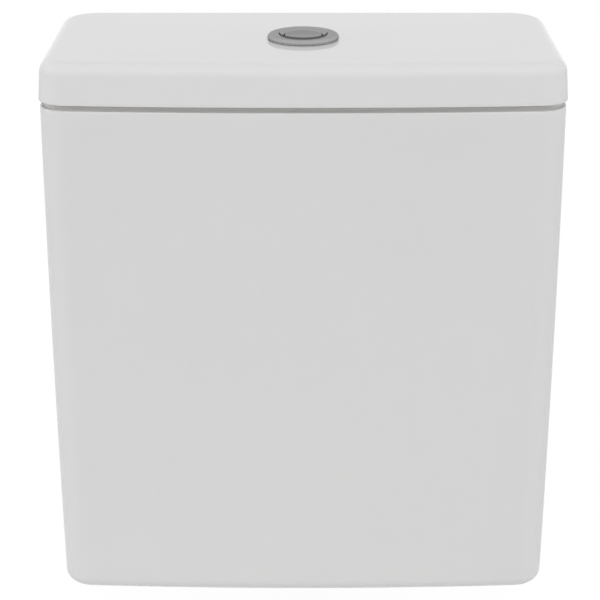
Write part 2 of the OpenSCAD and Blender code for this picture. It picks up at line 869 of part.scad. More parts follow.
module valve_base() {
  post_x = cage_foot_r + contact_gap;
  hook_x = cage_foot_r - clip_hook;
  hook_z = flange_top + cage_foot_t + contact_gap;
  color("white")
    union() {
      rotate_extrude()
        polygon([
          [outlet_r, tail_end],
          [spigot_r, tail_end],
          [spigot_r, thread_end],
          [tail_r, thread_end],
          [tail_r, base_z],
          [base_flange_r, base_z],
          [base_flange_r, flange_top],
          [outlet_r + seat_w, flange_top],
          [outlet_r + seat_w, seat_z],
          [throat_r, seat_z],
          [throat_r, floor_t],
          [outlet_r, floor_t]
        ]);
      for (a = [0, 120, 240])
        rotate([0, 0, a])
          union() {
            translate([post_x, -clip_w / 2, flange_top - base_flange_t / 2])
              cube([clip_t, clip_w, hook_z + clip_t - flange_top + base_flange_t / 2]);
            translate([hook_x, -clip_w / 2, hook_z])
              cube([post_x + clip_t - hook_x, clip_w, clip_t]);
          }
    }
}

module base_washer() {
  color("dimgray")
    tube(tail_r + contact_gap, base_flange_r - flange_rim, floor_t, base_washer_t);
}

module tail_nut() {
  grip_w = 8;
  grip_d = 4;
  grip_root = 2;
  color("white")
    difference() {
      union() {
        translate([0, 0, -tail_nut_t])
          cylinder(r = tail_nut_r - grip_d, h = tail_nut_t);
        for (i = [0:tail_nut_grips - 1])
          rotate([0, 0, 360 * i / tail_nut_grips])
            translate([tail_nut_r - grip_d - grip_root, -grip_w / 2, -tail_nut_t])
              cube([grip_d + grip_root / 2, grip_w, tail_nut_t - grip_root]);
      }
      translate([0, 0, -tail_nut_t - cut])
        cylinder(r = tail_r, h = tail_nut_t + 2 * cut);
    }
}

module foam_ring() {
  edge = 3;
  foam_in = tail_nut_r + foam_clear;
  foam_r = foam_in + foam_w;
  color("darkslategray")
    rotate_extrude()
      polygon([
        [foam_in, -foam_h + edge],
        [foam_in + edge, -foam_h],
        [foam_r - edge, -foam_h],
        [foam_r, -foam_h + edge],
        [foam_r, 0],
        [foam_in, 0]
      ]);
}

module valve_cage() {
  window_z = flange_top + cage_foot_t + clip_t;
  slot_z = flush_float_z;
  color("white")
    difference() {
      union() {
        tube(cage_r - cage_wall, cage_r, flange_top, cage_top - flange_top);
        tube(cage_r - cage_wall, cage_foot_r, flange_top, cage_foot_t);
        tube(stem_r + contact_gap, cage_r, cage_top - cage_roof_t, cage_roof_t);
      }
      for (a = [0, 90])
        rotate([0, 0, a])
          translate([-cage_r - cut, -window_w / 2, window_z])
            cube([2 * (cage_r + cut), window_w, window_h]);
      for (a = [45, 135])
        rotate([0, 0, a])
          translate([-cage_r - cut, -slot_w / 2, slot_z])
            cube([2 * (cage_r + cut), slot_w, cage_top - 2 * cage_roof_t - slot_z]);
    }
}

module overflow_tube() {
  stem_z = seat_z - stem_drop;
  color("white")
    difference() {
      union() {
        translate([0, 0, stem_z])
          cylinder(r = stem_r, h = stem_top - stem_z);
        translate([0, 0, stem_foot_z])
          cylinder(r = seal_r - seal_lip, h = stem_foot_t);
      }
      translate([0, 0, stem_z - cut])
        cylinder(r = stem_r - stem_wall, h = stem_top - stem_z + 2 * cut);
    }
}

module main_seal() {
  color("firebrick")
    tube(stem_r, seal_r, seal_z, seal_t);
}

module seal_retainer() {
  color("white")
    tube(stem_r, throat_r - stem_clear, seal_z - retainer_t, retainer_t);
}

module flush_float() {
  edge = 3;
  color("lightsteelblue")
    rotate_extrude()
      polygon([
        [stem_r, flush_float_z],
        [flush_float_r - edge, flush_float_z],
        [flush_float_r, flush_float_z + edge],
        [flush_float_r, flush_float_z + flush_float_h - edge],
        [flush_float_r - edge, flush_float_z + flush_float_h],
        [stem_r, flush_float_z + flush_float_h]
      ]);
}

module rocker_bracket() {
  ring_r = cage_r + bracket_lap;
  cheek_top = rocker_z + hub_r + cheek_margin;
  foot_y = sqrt(ring_r * ring_r - pow(cheek_x - cheek_t / 2, 2));
  margin = hub_r + cheek_margin;
  y0 = full_pivot_y - margin;
  y1 = half_pivot_y + margin;
  waist_z = (yoke_z + rocker_z) / 2;
  color("white")
    difference() {
      union() {
        tube(stem_r + stem_clear, ring_r, bracket_z, bracket_base_t);
        for (side = [-1, 1])
          translate([side * cheek_x, 0, 0])
            along_x(cheek_t)
              difference() {
                polygon([
                  [-foot_y, bracket_z],
                  [foot_y, bracket_z],
                  [foot_y, yoke_z],
                  [y1, waist_z],
                  [y1, cheek_top],
                  [y0, cheek_top],
                  [y0, waist_z],
                  [-foot_y, yoke_z]
                ]);
                polygon([
                  [-foot_y + cheek_rib, yoke_z + cheek_rib],
                  [foot_y - cheek_rib, yoke_z + cheek_rib],
                  [y1 - 2 * margin, waist_z],
                  [y1 - 2 * margin, rocker_z - margin],
                  [y0 + 2 * margin, rocker_z - margin],
                  [y0 + 2 * margin, waist_z]
                ]);
              }
      }
      for (y = [full_pivot_y, half_pivot_y])
        translate([0, y, rocker_z])
          along_x(2 * (cheek_x + cheek_t))
            circle(r = pin_r);
    }
}

// A rocker on its pivot: the inner arm lies under the push rod, the outer arm lifts.
module rocker(y, inward) {
  color("orange")
    translate([0, y, rocker_z])
      difference() {
        union() {
          along_x(rocker_w)
            translate([(inward > 0 ? -arm_out : -arm_in), -rocker_t / 2])
              square([arm_in + arm_out, rocker_t]);
          for (u = [inward * arm_in, -inward * arm_out])
            along_x(tip_w)
              translate([u, 0])
                circle(r = tip_r);
          along_x(hub_l)
            circle(r = hub_r);
        }
        along_x(hub_l + 2 * cut)
          circle(r = pin_r + pin_clear);
      }
}

module full_rocker() {
  rocker(full_pivot_y, 1);
}

module half_rocker() {
  rocker(half_pivot_y, -1);
}

// A rocker pin across the bracket's cheeks.
module rocker_pin(y) {
  color("silver")
    translate([0, y, rocker_z])
      along_x(2 * (cheek_x + cheek_t / 2 + pin_out))
        circle(r = pin_r);
}

module full_rocker_pin() {
  rocker_pin(full_pivot_y);
}

module half_rocker_pin() {
  rocker_pin(half_pivot_y);
}

// A ring round the overflow tube with an arm, two legs and the bar that a rocker lifts.
module lifter(r_in, r_out, z, tip_y, outward) {
  bar_w = 2 * (tip_r + bar_lap);
  reach = abs(tip_y) + bar_w / 2;
  width = 2 * (leg_x + leg_w);
  difference() {
    union() {
      translate([0, 0, z])
        cylinder(r = r_out, h = yoke_t);
      translate([-width / 2, (outward > 0 ? 0 : -reach), z])
        cube([width, reach, yoke_t]);
    }
    translate([0, 0, z - cut])
      cylinder(r = r_in, h = yoke_t + 2 * cut);
  }
  for (side = [-1, 1])
    translate([
      side * (leg_x + leg_w / 2) - leg_w / 2,
      (outward > 0 ? reach - leg_t : -reach),
      z
    ])
      cube([leg_w, leg_t, lift_bar_z + bar_t - z]);
  translate([-width / 2, (outward > 0 ? reach - bar_w : -reach), lift_bar_z])
    cube([width, bar_w, bar_t]);
}

module lift_yoke() {
  color("orange")
    lifter(stem_r + stem_clear, stem_r + stem_clear + yoke_ring_w, yoke_z, full_pivot_y - arm_out, -1);
}

module lift_strap() {
  color("gold")
    lifter(stem_r, stem_r + strap_ring_w, strap_z, half_pivot_y + arm_out, 1);
}

module fill_shank() {
  color("white")
    at_fill()
      rotate_extrude()
        polygon([
          [water_r, inlet_end],
          [inlet_r - inlet_thread, inlet_end],
          [inlet_r, inlet_end + inlet_thread],
          [inlet_r, -shank_nut_t - inlet_groove],
          [inlet_r - inlet_thread, -shank_nut_t - inlet_groove],
          [inlet_r - inlet_thread, -shank_nut_t],
          [inlet_r, -shank_nut_t],
          [inlet_r, shank_z],
          [shank_flange_r, shank_z],
          [shank_flange_r, shank_z + shank_flange_t],
          [shank_r, shank_z + shank_flange_t],
          [shank_r, shank_top],
          [riser_r, shank_top],
          [riser_r, riser_z],
          [water_r, riser_z]
        ]);
}

module shank_washer() {
  color("dimgray")
    at_fill()
      tube(inlet_r + contact_gap, shank_flange_r - flange_rim, floor_t, shank_washer_t);
}

module shank_nut() {
  collar_t = 2;
  color("goldenrod")
    at_fill()
      difference() {
        union() {
          translate([0, 0, -shank_nut_t])
            cylinder(r = shank_nut_r, h = shank_nut_t - collar_t, $fn = 6);
          translate([0, 0, -collar_t])
            cylinder(r = shank_nut_r, h = collar_t);
        }
        translate([0, 0, -shank_nut_t - cut])
          cylinder(r = inlet_r, h = shank_nut_t + 2 * cut);
      }
}

module inlet_filter() {
  rim_t = 2;
  mesh_wall = 1;
  mesh_r = water_r - 1.5 * mesh_wall;
  filter_l = inlet_l - 3 * rim_t;
  color("lightblue")
    at_fill()
      translate([0, 0, inlet_end + rim_t])
        difference() {
          union() {
            cylinder(r = water_r, h = rim_t);
            cylinder(r = mesh_r, h = filter_l);
          }
          translate([0, 0, -cut])
            cylinder(r = mesh_r - mesh_wall, h = filter_l);
        }
}

module fill_riser() {
  color("white")
    at_fill()
      difference() {
        union() {
          translate([0, 0, riser_z])
            cylinder(r = riser_r, h = head_z + socket_d - riser_z);
          translate([0, 0, float_stop_z - float_stop_t])
            cylinder(r = riser_r + float_stop_w, h = float_stop_t);
        }
        translate([0, 0, riser_z - cut])
          cylinder(r = riser_r - riser_wall, h = head_z + socket_d - riser_z + 2 * cut);
      }
}

module lock_ring() {
  color("royalblue")
    at_fill()
      tube(riser_r, shank_r + lock_ring_wall, shank_top, lock_ring_h);
}

module valve_head() {
  chamber_z = head_z + socket_d + head_floor;
  color("white")
    at_fill()
      difference() {
        translate([0, 0, head_z])
          cylinder(r = head_r, h = head_h);
        translate([0, 0, head_z - cut])
          cylinder(r = riser_r, h = socket_d + cut);
        translate([0, 0, head_z])
          cylinder(r = water_r, h = head_h + cut);
        translate([0, 0, chamber_z])
          difference() {
            cylinder(r = head_r - head_wall, h = head_h);
            cylinder(r = water_r + nozzle_wall, h = head_top - chamber_z);
          }
      }
}

module diaphragm() {
  color("black")
    at_fill()
      translate([0, 0, head_top])
        cylinder(r = head_r, h = diaphragm_t);
}

module head_cap() {
  ear_y = lever_w / 2 + ear_play;
  pilot_drop = (lever_short + pilot_r) * sin(lever_tilt) + lever_t / 2;
  pilot_h = lever_rise - pilot_drop - contact_gap;
  color("royalblue")
    at_fill()
      difference() {
        union() {
          translate([0, 0, head_top - cap_skirt])
            cylinder(r = head_r + cap_wall, h = cap_top - head_top + cap_skirt);
          for (y = [-ear_y - ear_t, ear_y])
            translate([-lever_back - ear_w / 2, y, cap_top])
              cube([ear_w, ear_t, lever_rise + ear_w / 2]);
          translate([-lever_back - lever_short, 0, cap_top])
            cylinder(r = pilot_r, h = pilot_h);
        }
        translate([0, 0, head_top - cap_skirt - cut])
          cylinder(r = head_r, h = cap_skirt + diaphragm_t + cut);
        translate([0, 0, head_top])
          cylinder(r = head_r - cap_seat, h = diaphragm_t + cap_h - cap_t);
        translate([-lever_back, 0, lever_z])
          along_y(2 * (ear_y + ear_t + cut))
            circle(r = pin_r);
      }
}

module fill_lever() {
  hole_r = float_rod_r + eye_gap;
  eye_r = hole_r + lever_wall;
  hub_out = pin_r + lever_wall;
  color("orange")
    at_fill()
      translate([-lever_back, 0, lever_z])
        rotate([0, lever_tilt, 0])
          difference() {
            union() {
              translate([-lever_short - pilot_lap, -lever_w / 2, -lever_t / 2])
                cube([lever_short + pilot_lap + hub_out, lever_w, lever_t]);
              translate([0, -lever_arm_w / 2, -lever_t / 2])
                cube([lever_long, lever_arm_w, lever_t]);
              translate([lever_long, 0, -lever_t / 2])
                cylinder(r = eye_r, h = lever_t);
              along_y(lever_w)
                circle(r = hub_out);
            }
            along_y(lever_w + 2 * cut)
              circle(r = pin_r + pin_clear);
            translate([lever_long, 0, -lever_t])
              cylinder(r = hole_r, h = 2 * lever_t);
          }
}

module lever_pin() {
  color("silver")
    at_fill()
      translate([-lever_back, 0, lever_z])
        along_y(lever_w + 2 * (ear_play + ear_t + pin_out))
          circle(r = pin_r);
}

module float_cup() {
  sleeve_r = riser_r + float_clear;
  color("lightsteelblue")
    at_fill()
      difference() {
        union() {
          difference() {
            translate([0, 0, float_stop_z])
              cylinder(r = float_r, h = float_h);
            translate([0, 0, float_stop_z - cut])
              cylinder(r = float_r - float_wall, h = float_h - float_wall + cut);
          }
          translate([0, 0, float_stop_z])
            cylinder(r = sleeve_r + float_wall, h = float_h);
          difference() {
            translate([0, -lug_w / 2, lug_z])
              cube([float_rod_x + lug_w / 2, lug_w, lug_t]);
            translate([0, 0, lug_z - cut])
              cylinder(r = float_r - float_wall / 2, h = lug_t + 2 * cut);
          }
        }
        translate([0, 0, float_stop_z - cut])
          cylinder(r = sleeve_r, h = float_h + 2 * cut);
        translate([float_rod_x, 0, lug_z - cut])
          cylinder(r = float_rod_r, h = lug_t + 2 * cut);
      }
}

module float_rod() {
  rod_low = lug_z - rod_tail;
  rod_high = lever_end_z + lever_t / 2 + collar_gap + rod_collar_t + rod_tip;
  color("white")
    at_fill()
      translate([float_rod_x, 0, 0])
        union() {
          translate([0, 0, rod_low])
            cylinder(r = float_rod_r, h = rod_high - rod_low);
          translate([0, 0, lever_end_z - lever_t / 2 - collar_gap - rod_collar_t])
            cylinder(r = rod_collar_r, h = rod_collar_t);
          translate([0, 0, lever_end_z + lever_t / 2 + collar_gap])
            cylinder(r = rod_collar_r, h = rod_collar_t);
        }
}

module level_adjuster() {
  color("royalblue")
    at_fill()
      translate([float_rod_x, 0, 0])
        tube(float_rod_r, adjuster_r, lug_z + lug_t, adjuster_t);
}

module coupling_bolts() {
  head_low = floor_t + rubber_t + steel_t;
  color("silver")
    at_bolts()
      union() {
        translate([0, 0, head_low])
          cylinder(r = bolt_hex_r, h = bolt_head_t, $fn = 6);
        translate([0, 0, nut_low])
          cylinder(r = bolt_r, h = head_low - nut_low);
        translate([0, 0, nut_low - bolt_free_l])
          cylinder(r = bolt_thread_r, h = bolt_free_l);
      }
}

module inner_rubber_washers() {
  color("dimgray")
    at_bolts()
      tube(bolt_r, rubber_r, floor_t, rubber_t);
}

module inner_steel_washers() {
  color("silver")
    at_bolts()
      tube(bolt_r, steel_r, floor_t + rubber_t, steel_t);
}

module outer_rubber_washers() {
  color("dimgray")
    at_bolts()
      tube(bolt_r, rubber_r, -rubber_t, rubber_t);
}

module outer_steel_washers() {
  color("silver")
    at_bolts()
      tube(bolt_r, steel_r, -rubber_t - steel_t, steel_t);
}

module coupling_nuts() {
  color("goldenrod")
    at_bolts()
      difference() {
        translate([0, 0, nut_low])
          cylinder(r = bolt_hex_r, h = bolt_nut_t, $fn = 6);
        translate([0, 0, nut_low - cut])
          cylinder(r = bolt_r, h = bolt_nut_t + 2 * cut);
      }
}

tank();
lid();
lid_pads();
button_surround();
surround_seal();
clamp_nut();
guide_plate();
full_flush_button();
half_flush_button();
full_push_rod();
half_push_rod();
full_spring();
half_spring();
valve_base();
base_washer();
tail_nut();
foam_ring();
valve_cage();
overflow_tube();
main_seal();
seal_retainer();
flush_float();
rocker_bracket();
full_rocker();
half_rocker();
full_rocker_pin();
half_rocker_pin();
lift_yoke();
lift_strap();
fill_shank();
shank_washer();
shank_nut();
inlet_filter();
fill_riser();
lock_ring();
valve_head();
diaphragm();
head_cap();
fill_lever();
lever_pin();
float_cup();
float_rod();
level_adjuster();
coupling_bolts();
inner_rubber_washers();
inner_steel_washers();
outer_rubber_washers();
outer_steel_washers();
coupling_nuts();
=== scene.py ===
import json
import math

import bmesh
import bpy
import numpy as np
from bpy.props import FloatProperty, FloatVectorProperty, PointerProperty
from bpy.types import Operator, Panel, PropertyGroup
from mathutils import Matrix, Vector

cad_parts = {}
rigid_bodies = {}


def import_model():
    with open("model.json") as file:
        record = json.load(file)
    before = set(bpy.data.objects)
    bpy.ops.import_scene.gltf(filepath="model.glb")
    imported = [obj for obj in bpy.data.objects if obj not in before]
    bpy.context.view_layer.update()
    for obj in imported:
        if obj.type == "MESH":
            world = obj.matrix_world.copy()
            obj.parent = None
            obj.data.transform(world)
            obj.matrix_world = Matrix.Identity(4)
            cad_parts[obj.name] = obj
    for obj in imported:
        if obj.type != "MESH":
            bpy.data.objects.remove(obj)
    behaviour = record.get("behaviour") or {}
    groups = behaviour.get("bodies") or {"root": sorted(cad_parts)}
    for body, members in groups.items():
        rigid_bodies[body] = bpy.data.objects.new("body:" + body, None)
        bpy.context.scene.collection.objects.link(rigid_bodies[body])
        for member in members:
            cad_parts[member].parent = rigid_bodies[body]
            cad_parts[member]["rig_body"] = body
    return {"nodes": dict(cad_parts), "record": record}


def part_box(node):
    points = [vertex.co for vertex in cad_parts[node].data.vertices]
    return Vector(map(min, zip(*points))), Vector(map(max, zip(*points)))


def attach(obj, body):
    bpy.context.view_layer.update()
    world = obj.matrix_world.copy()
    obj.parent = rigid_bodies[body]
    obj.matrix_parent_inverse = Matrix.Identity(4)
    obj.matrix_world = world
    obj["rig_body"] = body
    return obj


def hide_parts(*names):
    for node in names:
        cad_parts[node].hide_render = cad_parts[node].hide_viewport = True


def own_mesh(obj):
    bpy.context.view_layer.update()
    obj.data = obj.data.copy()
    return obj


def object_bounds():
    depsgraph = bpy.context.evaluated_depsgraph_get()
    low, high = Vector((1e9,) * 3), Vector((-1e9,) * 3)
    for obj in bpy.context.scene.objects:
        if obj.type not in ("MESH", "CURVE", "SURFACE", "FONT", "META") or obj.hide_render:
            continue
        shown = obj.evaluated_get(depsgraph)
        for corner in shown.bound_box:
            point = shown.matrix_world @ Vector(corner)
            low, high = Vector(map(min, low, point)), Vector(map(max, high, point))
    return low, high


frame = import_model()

bl_info = {
    "name": "Toilet Cistern",
    "version": (1, 0, 0),
    "blender": (4, 5, 0),
    "location": "View3D > Sidebar > Cistern",
    "description": "Glazed cistern with lid, push buttons, flush valve, fill valve and coupling bolts",
    "category": "Object",
}

MM = 0.001
TURN = 2 * math.pi
CAD_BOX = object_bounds()
SLOTS = {part["node"]: part["material_slot"] for part in frame["record"]["subparts"]}


# Settings


def length(name, description, millimetres):
    """A length property whose default is given in millimetres."""
    value = millimetres * MM
    return FloatProperty(name=name, description=description, default=value, unit="LENGTH", precision=4)


def colour(name, description, value):
    """A colour property."""
    return FloatVectorProperty(
        name=name, description=description, default=value, subtype="COLOR", min=0, max=1
    )


def number(name, description, value, **kind):
    """A number property, with a unit or subtype where one fits."""
    return FloatProperty(name=name, description=description, default=value, precision=4, **kind)


class CeramicSizes(PropertyGroup):
    """Sizes of the glazed tank and lid that their boxes don't give."""

    wall: length("Wall", "Thickness of the tank's walls", 10)
    floor: length("Floor", "Thickness of the tank's floor", 14)
    taper: length("Taper", "How far each side draws in from rim to underside", 2)
    bulge: length("Bulge", "How far the sides swell at mid height", 1)
    lean: length("Lean", "How far the front leans back from rim to underside", 4)
    tank_bow: length("Tank bow", "Bow of the tank's front in plan", 5.5)
    tank_corner: length("Tank corner", "Radius of the tank's front corners", 21)
    tank_back: length("Tank back corner", "Radius of the tank's back corners", 27)
    base_edge: length("Base edge", "Radius of the edge round the underside", 9)
    rim_edge: length("Shoulder edge", "Radius of the edge round the shoulder under the lid", 0.4)
    rebate: length("Rebate", "Depth of the rebate round the rim", 3.2)
    rebate_height: length("Rebate height", "Height of the rim above the shoulder", 2.9)
    rim_inner: length("Inner rim edge", "Radius of the rim's inner edge", 2)
    cove: length("Cove", "Radius of the cove round the floor inside", 10)
    lid_height: length("Lid height", "Height of the lid's edge", 28.2)
    lid_edge: length("Lid edge", "Radius of the lid's upper edge", 9)
    lid_low_edge: length("Lid lower edge", "Radius of the lid's lower edge", 0.3)
    lid_draft: length("Lid draft", "How far the lid's sides draw in towards the top", 2)
    lid_bow: length("Lid bow", "Bow of the lid's front in plan", 6.5)
    lid_corner: length("Lid corner", "Radius of the lid's front corners", 22)
    lid_back: length("Lid back corner", "Radius of the lid's back corners", 28)
    lid_crown: length("Crown", "Rise of the lid's top towards the button", 0.6)
    lid_top: length("Lid thickness", "Thickness of the lid's top", 10)
    lip_inset: length("Lip inset", "How far the locating lip lies inside the lid's edge", 13)
    lip: length("Lip", "Thickness of the locating lip", 6)
    screw_hole: length("Screw hole", "Radius of the wall screw holes", 4.5)
    screw_side: length("Screw place", "Distance of a wall screw from the middle", 115)
    screw_height: length("Screw height", "Height of the wall screws", 310)
    bolt_hole: length("Bolt hole", "Radius of the bolt holes in the floor", 6)
    hole_play: length("Hole play", "Gap between a threaded tail and its hole in the floor", 1.2)


class FittingSizes(PropertyGroup):
    """Sizes of the button unit and the valves that their boxes don't give."""

    barrel: length("Barrel", "Outer radius of the surround's threaded barrel", 19.5)
    barrel_play: length("Barrel play", "Gap between the barrel and the hole in the lid", 0.75)
    barrel_pitch: length("Barrel pitch", "Pitch of the barrel's thread", 3)
    opening: length("Opening", "Radius of the opening that holds the buttons", 17)
    surround_edge: length("Surround side", "Height of the surround's side", 1.2)
    shoulder: length("Surround shoulder", "Width of the surround's round shoulder", 2.6)
    shoulder_fall: length("Shoulder fall", "Fall of the surround's top towards its shoulder", 0.3)
    full_button: length("Full button", "Radius of the full-flush button", 13)
    full_offset: length("Full button place", "How far the full-flush button sits to the front", 8.5)
    split: length("Split", "Gap between the two buttons", 0.4)
    button_gap: length("Button gap", "Gap between the buttons and the opening", 0.3)
    button_edge: length("Button edge", "Radius of the buttons' upper edges", 0.6)
    button_dish: length("Button dish", "Depth of the dished top of the full-flush button", 0.3)
    spring: length("Spring", "Mean radius of the return springs", 2.55)
    spring_wire: length("Spring wire", "Radius of the spring wire", 0.4)
    tail: length("Tail", "Outer radius of the flush valve's threaded tail", 29.8)
    tail_pitch: length("Tail pitch", "Pitch of the tail's thread", 3)
    outlet: length("Outlet", "Radius of the outlet bore", 25)
    spigot: length("Spigot", "Radius of the spigot below the tail's thread", 28.5)
    cage: length("Cage", "Outer radius of the flush valve's cage", 34)
    cage_wall: length("Cage wall", "Thickness of the cage's wall", 3)
    window: length("Window", "Width of the cage's water windows", 38)
    slot: length("Slot", "Width of the slots in the cage's upper part", 12)
    stem: length("Overflow tube", "Outer radius of the overflow tube", 17)
    stem_wall: length("Overflow wall", "Wall of the overflow tube", 2)
    bracket_bore: length("Bracket bore", "Radius of the bore in the rocker bracket", 19)
    cheek_side: length("Cheek place", "Distance of the bracket's cheeks from the middle", 30)
    pin: length("Pin", "Radius of the rocker pins and of the lever's pin", 2)
    rocker_tip: length("Rocker tip", "Radius of the rockers' tips", 3)
    rocker_hub: length("Rocker hub", "Radius of the rockers' hubs", 4.5)
    bar_side: length("Lift bar", "Half the width of the bars that the rockers lift", 12)
    inlet: length("Inlet", "Outer radius of the threaded inlet", 10.48)
    inlet_pitch: length("Inlet pitch", "Pitch of the inlet's thread", 1.814)
    water_way: length("Water way", "Radius of the inlet's water way", 6)
    shank: length("Shank", "Radius of the fill valve's shank above its flange", 14)
    riser: length("Riser", "Outer radius of the riser", 11)
    riser_wall: length("Riser wall", "Wall of the riser", 3)
    head: length("Valve head", "Outer radius of the fill valve's head", 20)
    lever_back: length("Lever pivot", "Distance of the lever's pivot behind the fill valve's axis", 6)
    lever_long: length("Lever", "Length of the lever from its pivot to the float rod", 46)
    lever_short: length("Lever heel", "Length of the lever beyond its pivot", 13)
    lever_drop: length("Lever drop", "How far the lever's end hangs below its pivot", 8)
    bolt: length("Bolt", "Outer radius of the coupling bolts", 4)
    bolt_pitch: length("Bolt pitch", "Pitch of the bolts' thread", 1.25)


class StageSettings(PropertyGroup):
    """Camera and light."""

    camera_back: length("Camera distance", "Camera's distance in front of the outlet's axis", 1298.74)
    camera_height: length("Camera height", "Camera's height above the tank's underside", 690.86)
    camera_pitch: number("Camera pitch", "Camera's tilt downwards", math.radians(20.718), subtype="ANGLE")
    camera_shift: number("Camera shift", "Sideways shift of the photograph's frame", -0.0053)
    lens: number("Lens", "Focal length on a 36 mm sensor, in millimetres", 112.07)
    ambient: number("Ambient", "Strength of the light from all round", 0.25)
    key: number("Key lamp", "Power of the large soft lamp before the front", 128.0, unit="POWER")
    top: number("Top lamp", "Power of the large soft lamp above the front", 66.0, unit="POWER")
    rear: number("Rear lamp", "Power of the soft lamp behind the back", 40.0, unit="POWER")
    left: number("Left lamp", "Power of the soft lamp at the left", 16.0, unit="POWER")
    right: number("Right lamp", "Power of the soft lamp at the right", 12.5, unit="POWER")
    shadow: number("Floor shadow", "Share of shadow in the floor", 0.06, subtype="FACTOR", min=0, max=1)
    white: number("Floor white", "Strength of the floor that the camera sees", 1.03)
    sheen: number("Floor sheen", "Strength of the floor that glossy surfaces mirror", 0.8)


class Finishes(PropertyGroup):
    """Colours of the finishes."""

    glaze: colour("Glaze", "White sanitary glaze", (0.70, 0.70, 0.698))
    biscuit: colour("Biscuit", "Bare fired clay under the foot", (0.62, 0.59, 0.54))
    chrome: colour("Chrome", "Satin chrome of the surround and the half-flush button", (0.41, 0.41, 0.415))
    # The disc's darker colour is painted shade: it stands in for the darker surroundings that its dished top
    # would mirror.
    disc: colour("Disc", "Darker satin chrome of the full-flush button's disc", (0.335, 0.335, 0.34))
    white_plastic: colour("White plastic", "Moulded body of the valves", (0.74, 0.75, 0.75))
    blue_plastic: colour("Blue plastic", "Caps, rods and adjusters", (0.035, 0.17, 0.48))
    orange_plastic: colour("Orange plastic", "Rockers and levers", (0.80, 0.25, 0.03))
    float_plastic: colour("Float plastic", "Pale moulded floats", (0.55, 0.63, 0.70))
    rubber: colour("Rubber", "Black rubber", (0.028, 0.028, 0.030))
    pale_rubber: colour("Pale rubber", "Pale grey rubber", (0.52, 0.52, 0.50))
    red_seal: colour("Red seal", "Red silicone", (0.46, 0.045, 0.030))
    foam: colour("Foam", "Dark sealing foam", (0.050, 0.052, 0.055))
    spring_steel: colour("Spring steel", "Drawn wire", (0.50, 0.50, 0.49))
    steel: colour("Steel", "Plated steel", (0.56, 0.56, 0.55))
    brass: colour("Brass", "Turned brass", (0.66, 0.47, 0.19))


def ceramic():
    """The ceramic sizes of the current scene."""
    return bpy.context.scene.cistern_ceramic


def fittings():
    """The fitting sizes of the current scene."""
    return bpy.context.scene.cistern_fittings


# Shapes: a shell is a pair of points and faces


def quarter(steps):
    """Angles of a quarter turn."""
    return np.linspace(0, math.pi / 2, steps)


def rounded(corners, radius, steps=4):
    """A closed outline with round corners.

    Each corner is set back along both of its sides by radius / tan(half its angle), 0.01 to 0.4 of
    the shorter side, and joined by a circular arc, written as a rational curve with the corner as its
    middle point and the sine of half the angle as that point's weight. One more point on each side of
    the arc keeps the flats flat under smooth shading.
    """
    p = np.array(corners, float)
    before = np.roll(p, 1, 0) - p
    after = np.roll(p, -1, 0) - p
    reach = np.minimum(np.linalg.norm(before, axis=1), np.linalg.norm(after, axis=1))
    before /= np.linalg.norm(before, axis=1)[:, None]
    after /= np.linalg.norm(after, axis=1)[:, None]
    half = np.arccos(np.clip((before * after).sum(1), -1, 1)) / 2
    back = np.clip(np.broadcast_to(radius, len(p)) / np.tan(half), 0.01 * reach, 0.4 * reach)[:, None]
    start, end = p + before * back, p + after * back
    t = np.linspace(0, 1, steps + 1)[None, :, None]
    weights = (1 - t) ** 2, 2 * t * (1 - t) * np.sin(half)[:, None, None], t ** 2
    arc = weights[0] * start[:, None] + weights[1] * p[:, None] + weights[2] * end[:, None]
    arc /= sum(weights)
    guard = 1.2 * back
    rows = [(p + before * guard)[:, None], arc, (p + after * guard)[:, None]]
    return np.concatenate(rows, 1).reshape(-1, 2)


def skin(grid, ring=False):
    """Quads between the rows of a grid whose columns close round. A ring joins its last row to its
    first; otherwise one flat face closes each end."""
    rows, cols = grid.shape[:2]
    i = np.arange(rows if ring else rows - 1)[:, None]
    j = np.arange(cols)[None, :]
    up, right = (i + 1) % rows, (j + 1) % cols
    quads = np.stack([i * cols + j, i * cols + right, up * cols + right, up * cols + j], -1)
    faces = quads.reshape(-1, 4).tolist()
    if not ring:
        faces.append(list(range(cols))[::-1])
        faces.append(list(range((rows - 1) * cols, rows * cols)))
    return grid.reshape(-1, 3), faces


def moved(shell, x=0.0, y=0.0, z=0.0):
    """A shell carried to another place."""
    return shell[0] + np.array([x, y, z]), shell[1]


def turned_about(shell, angle):
    """A shell turned about the upright axis: x cos - y sin, x sin + y cos."""
    c, s = math.cos(angle), math.sin(angle)
    return shell[0] @ np.array([[c, s, 0], [-s, c, 0], [0, 0, 1]]), shell[1]


def along_x(shell):
    """A shell drawn in Y and Z and raised along X: its own x, y and z become y, z and x."""
    return shell[0][:, [2, 0, 1]], shell[1]


def along_y(shell):
    """A shell drawn in X and Z and raised along -Y: its own x, y and z become x, z and -y."""
    return shell[0][:, [0, 2, 1]] * np.array([1, -1, 1]), shell[1]


def around(profile, centre=(0, 0), segments=64, ring=True, radius=None):
    """A profile of radius and height carried round an upright axis. radius may change the profile's
    radius with height and angle."""
    angle = TURN * np.arange(segments)[None, :] / segments
    r, z = np.broadcast_arrays(profile[:, :1], profile[:, 1:])
    r = np.repeat(r, segments, 1)
    z = np.repeat(z, segments, 1)
    if radius is not None:
        r = radius(r, z, angle)
    grid = np.stack([centre[0] + r * np.cos(angle), centre[1] + r * np.sin(angle), z], -1)
    return skin(grid, ring)


def washer(bore, outer, low, high, edge, centre=(0, 0), segments=64, radius=None):
    """A flat ring or tube with rounded edges, its profile a rectangle."""
    corners = [(bore, low), (outer, low), (outer, high), (bore, high)]
    return around(rounded(corners, edge), centre, segments, radius=radius)


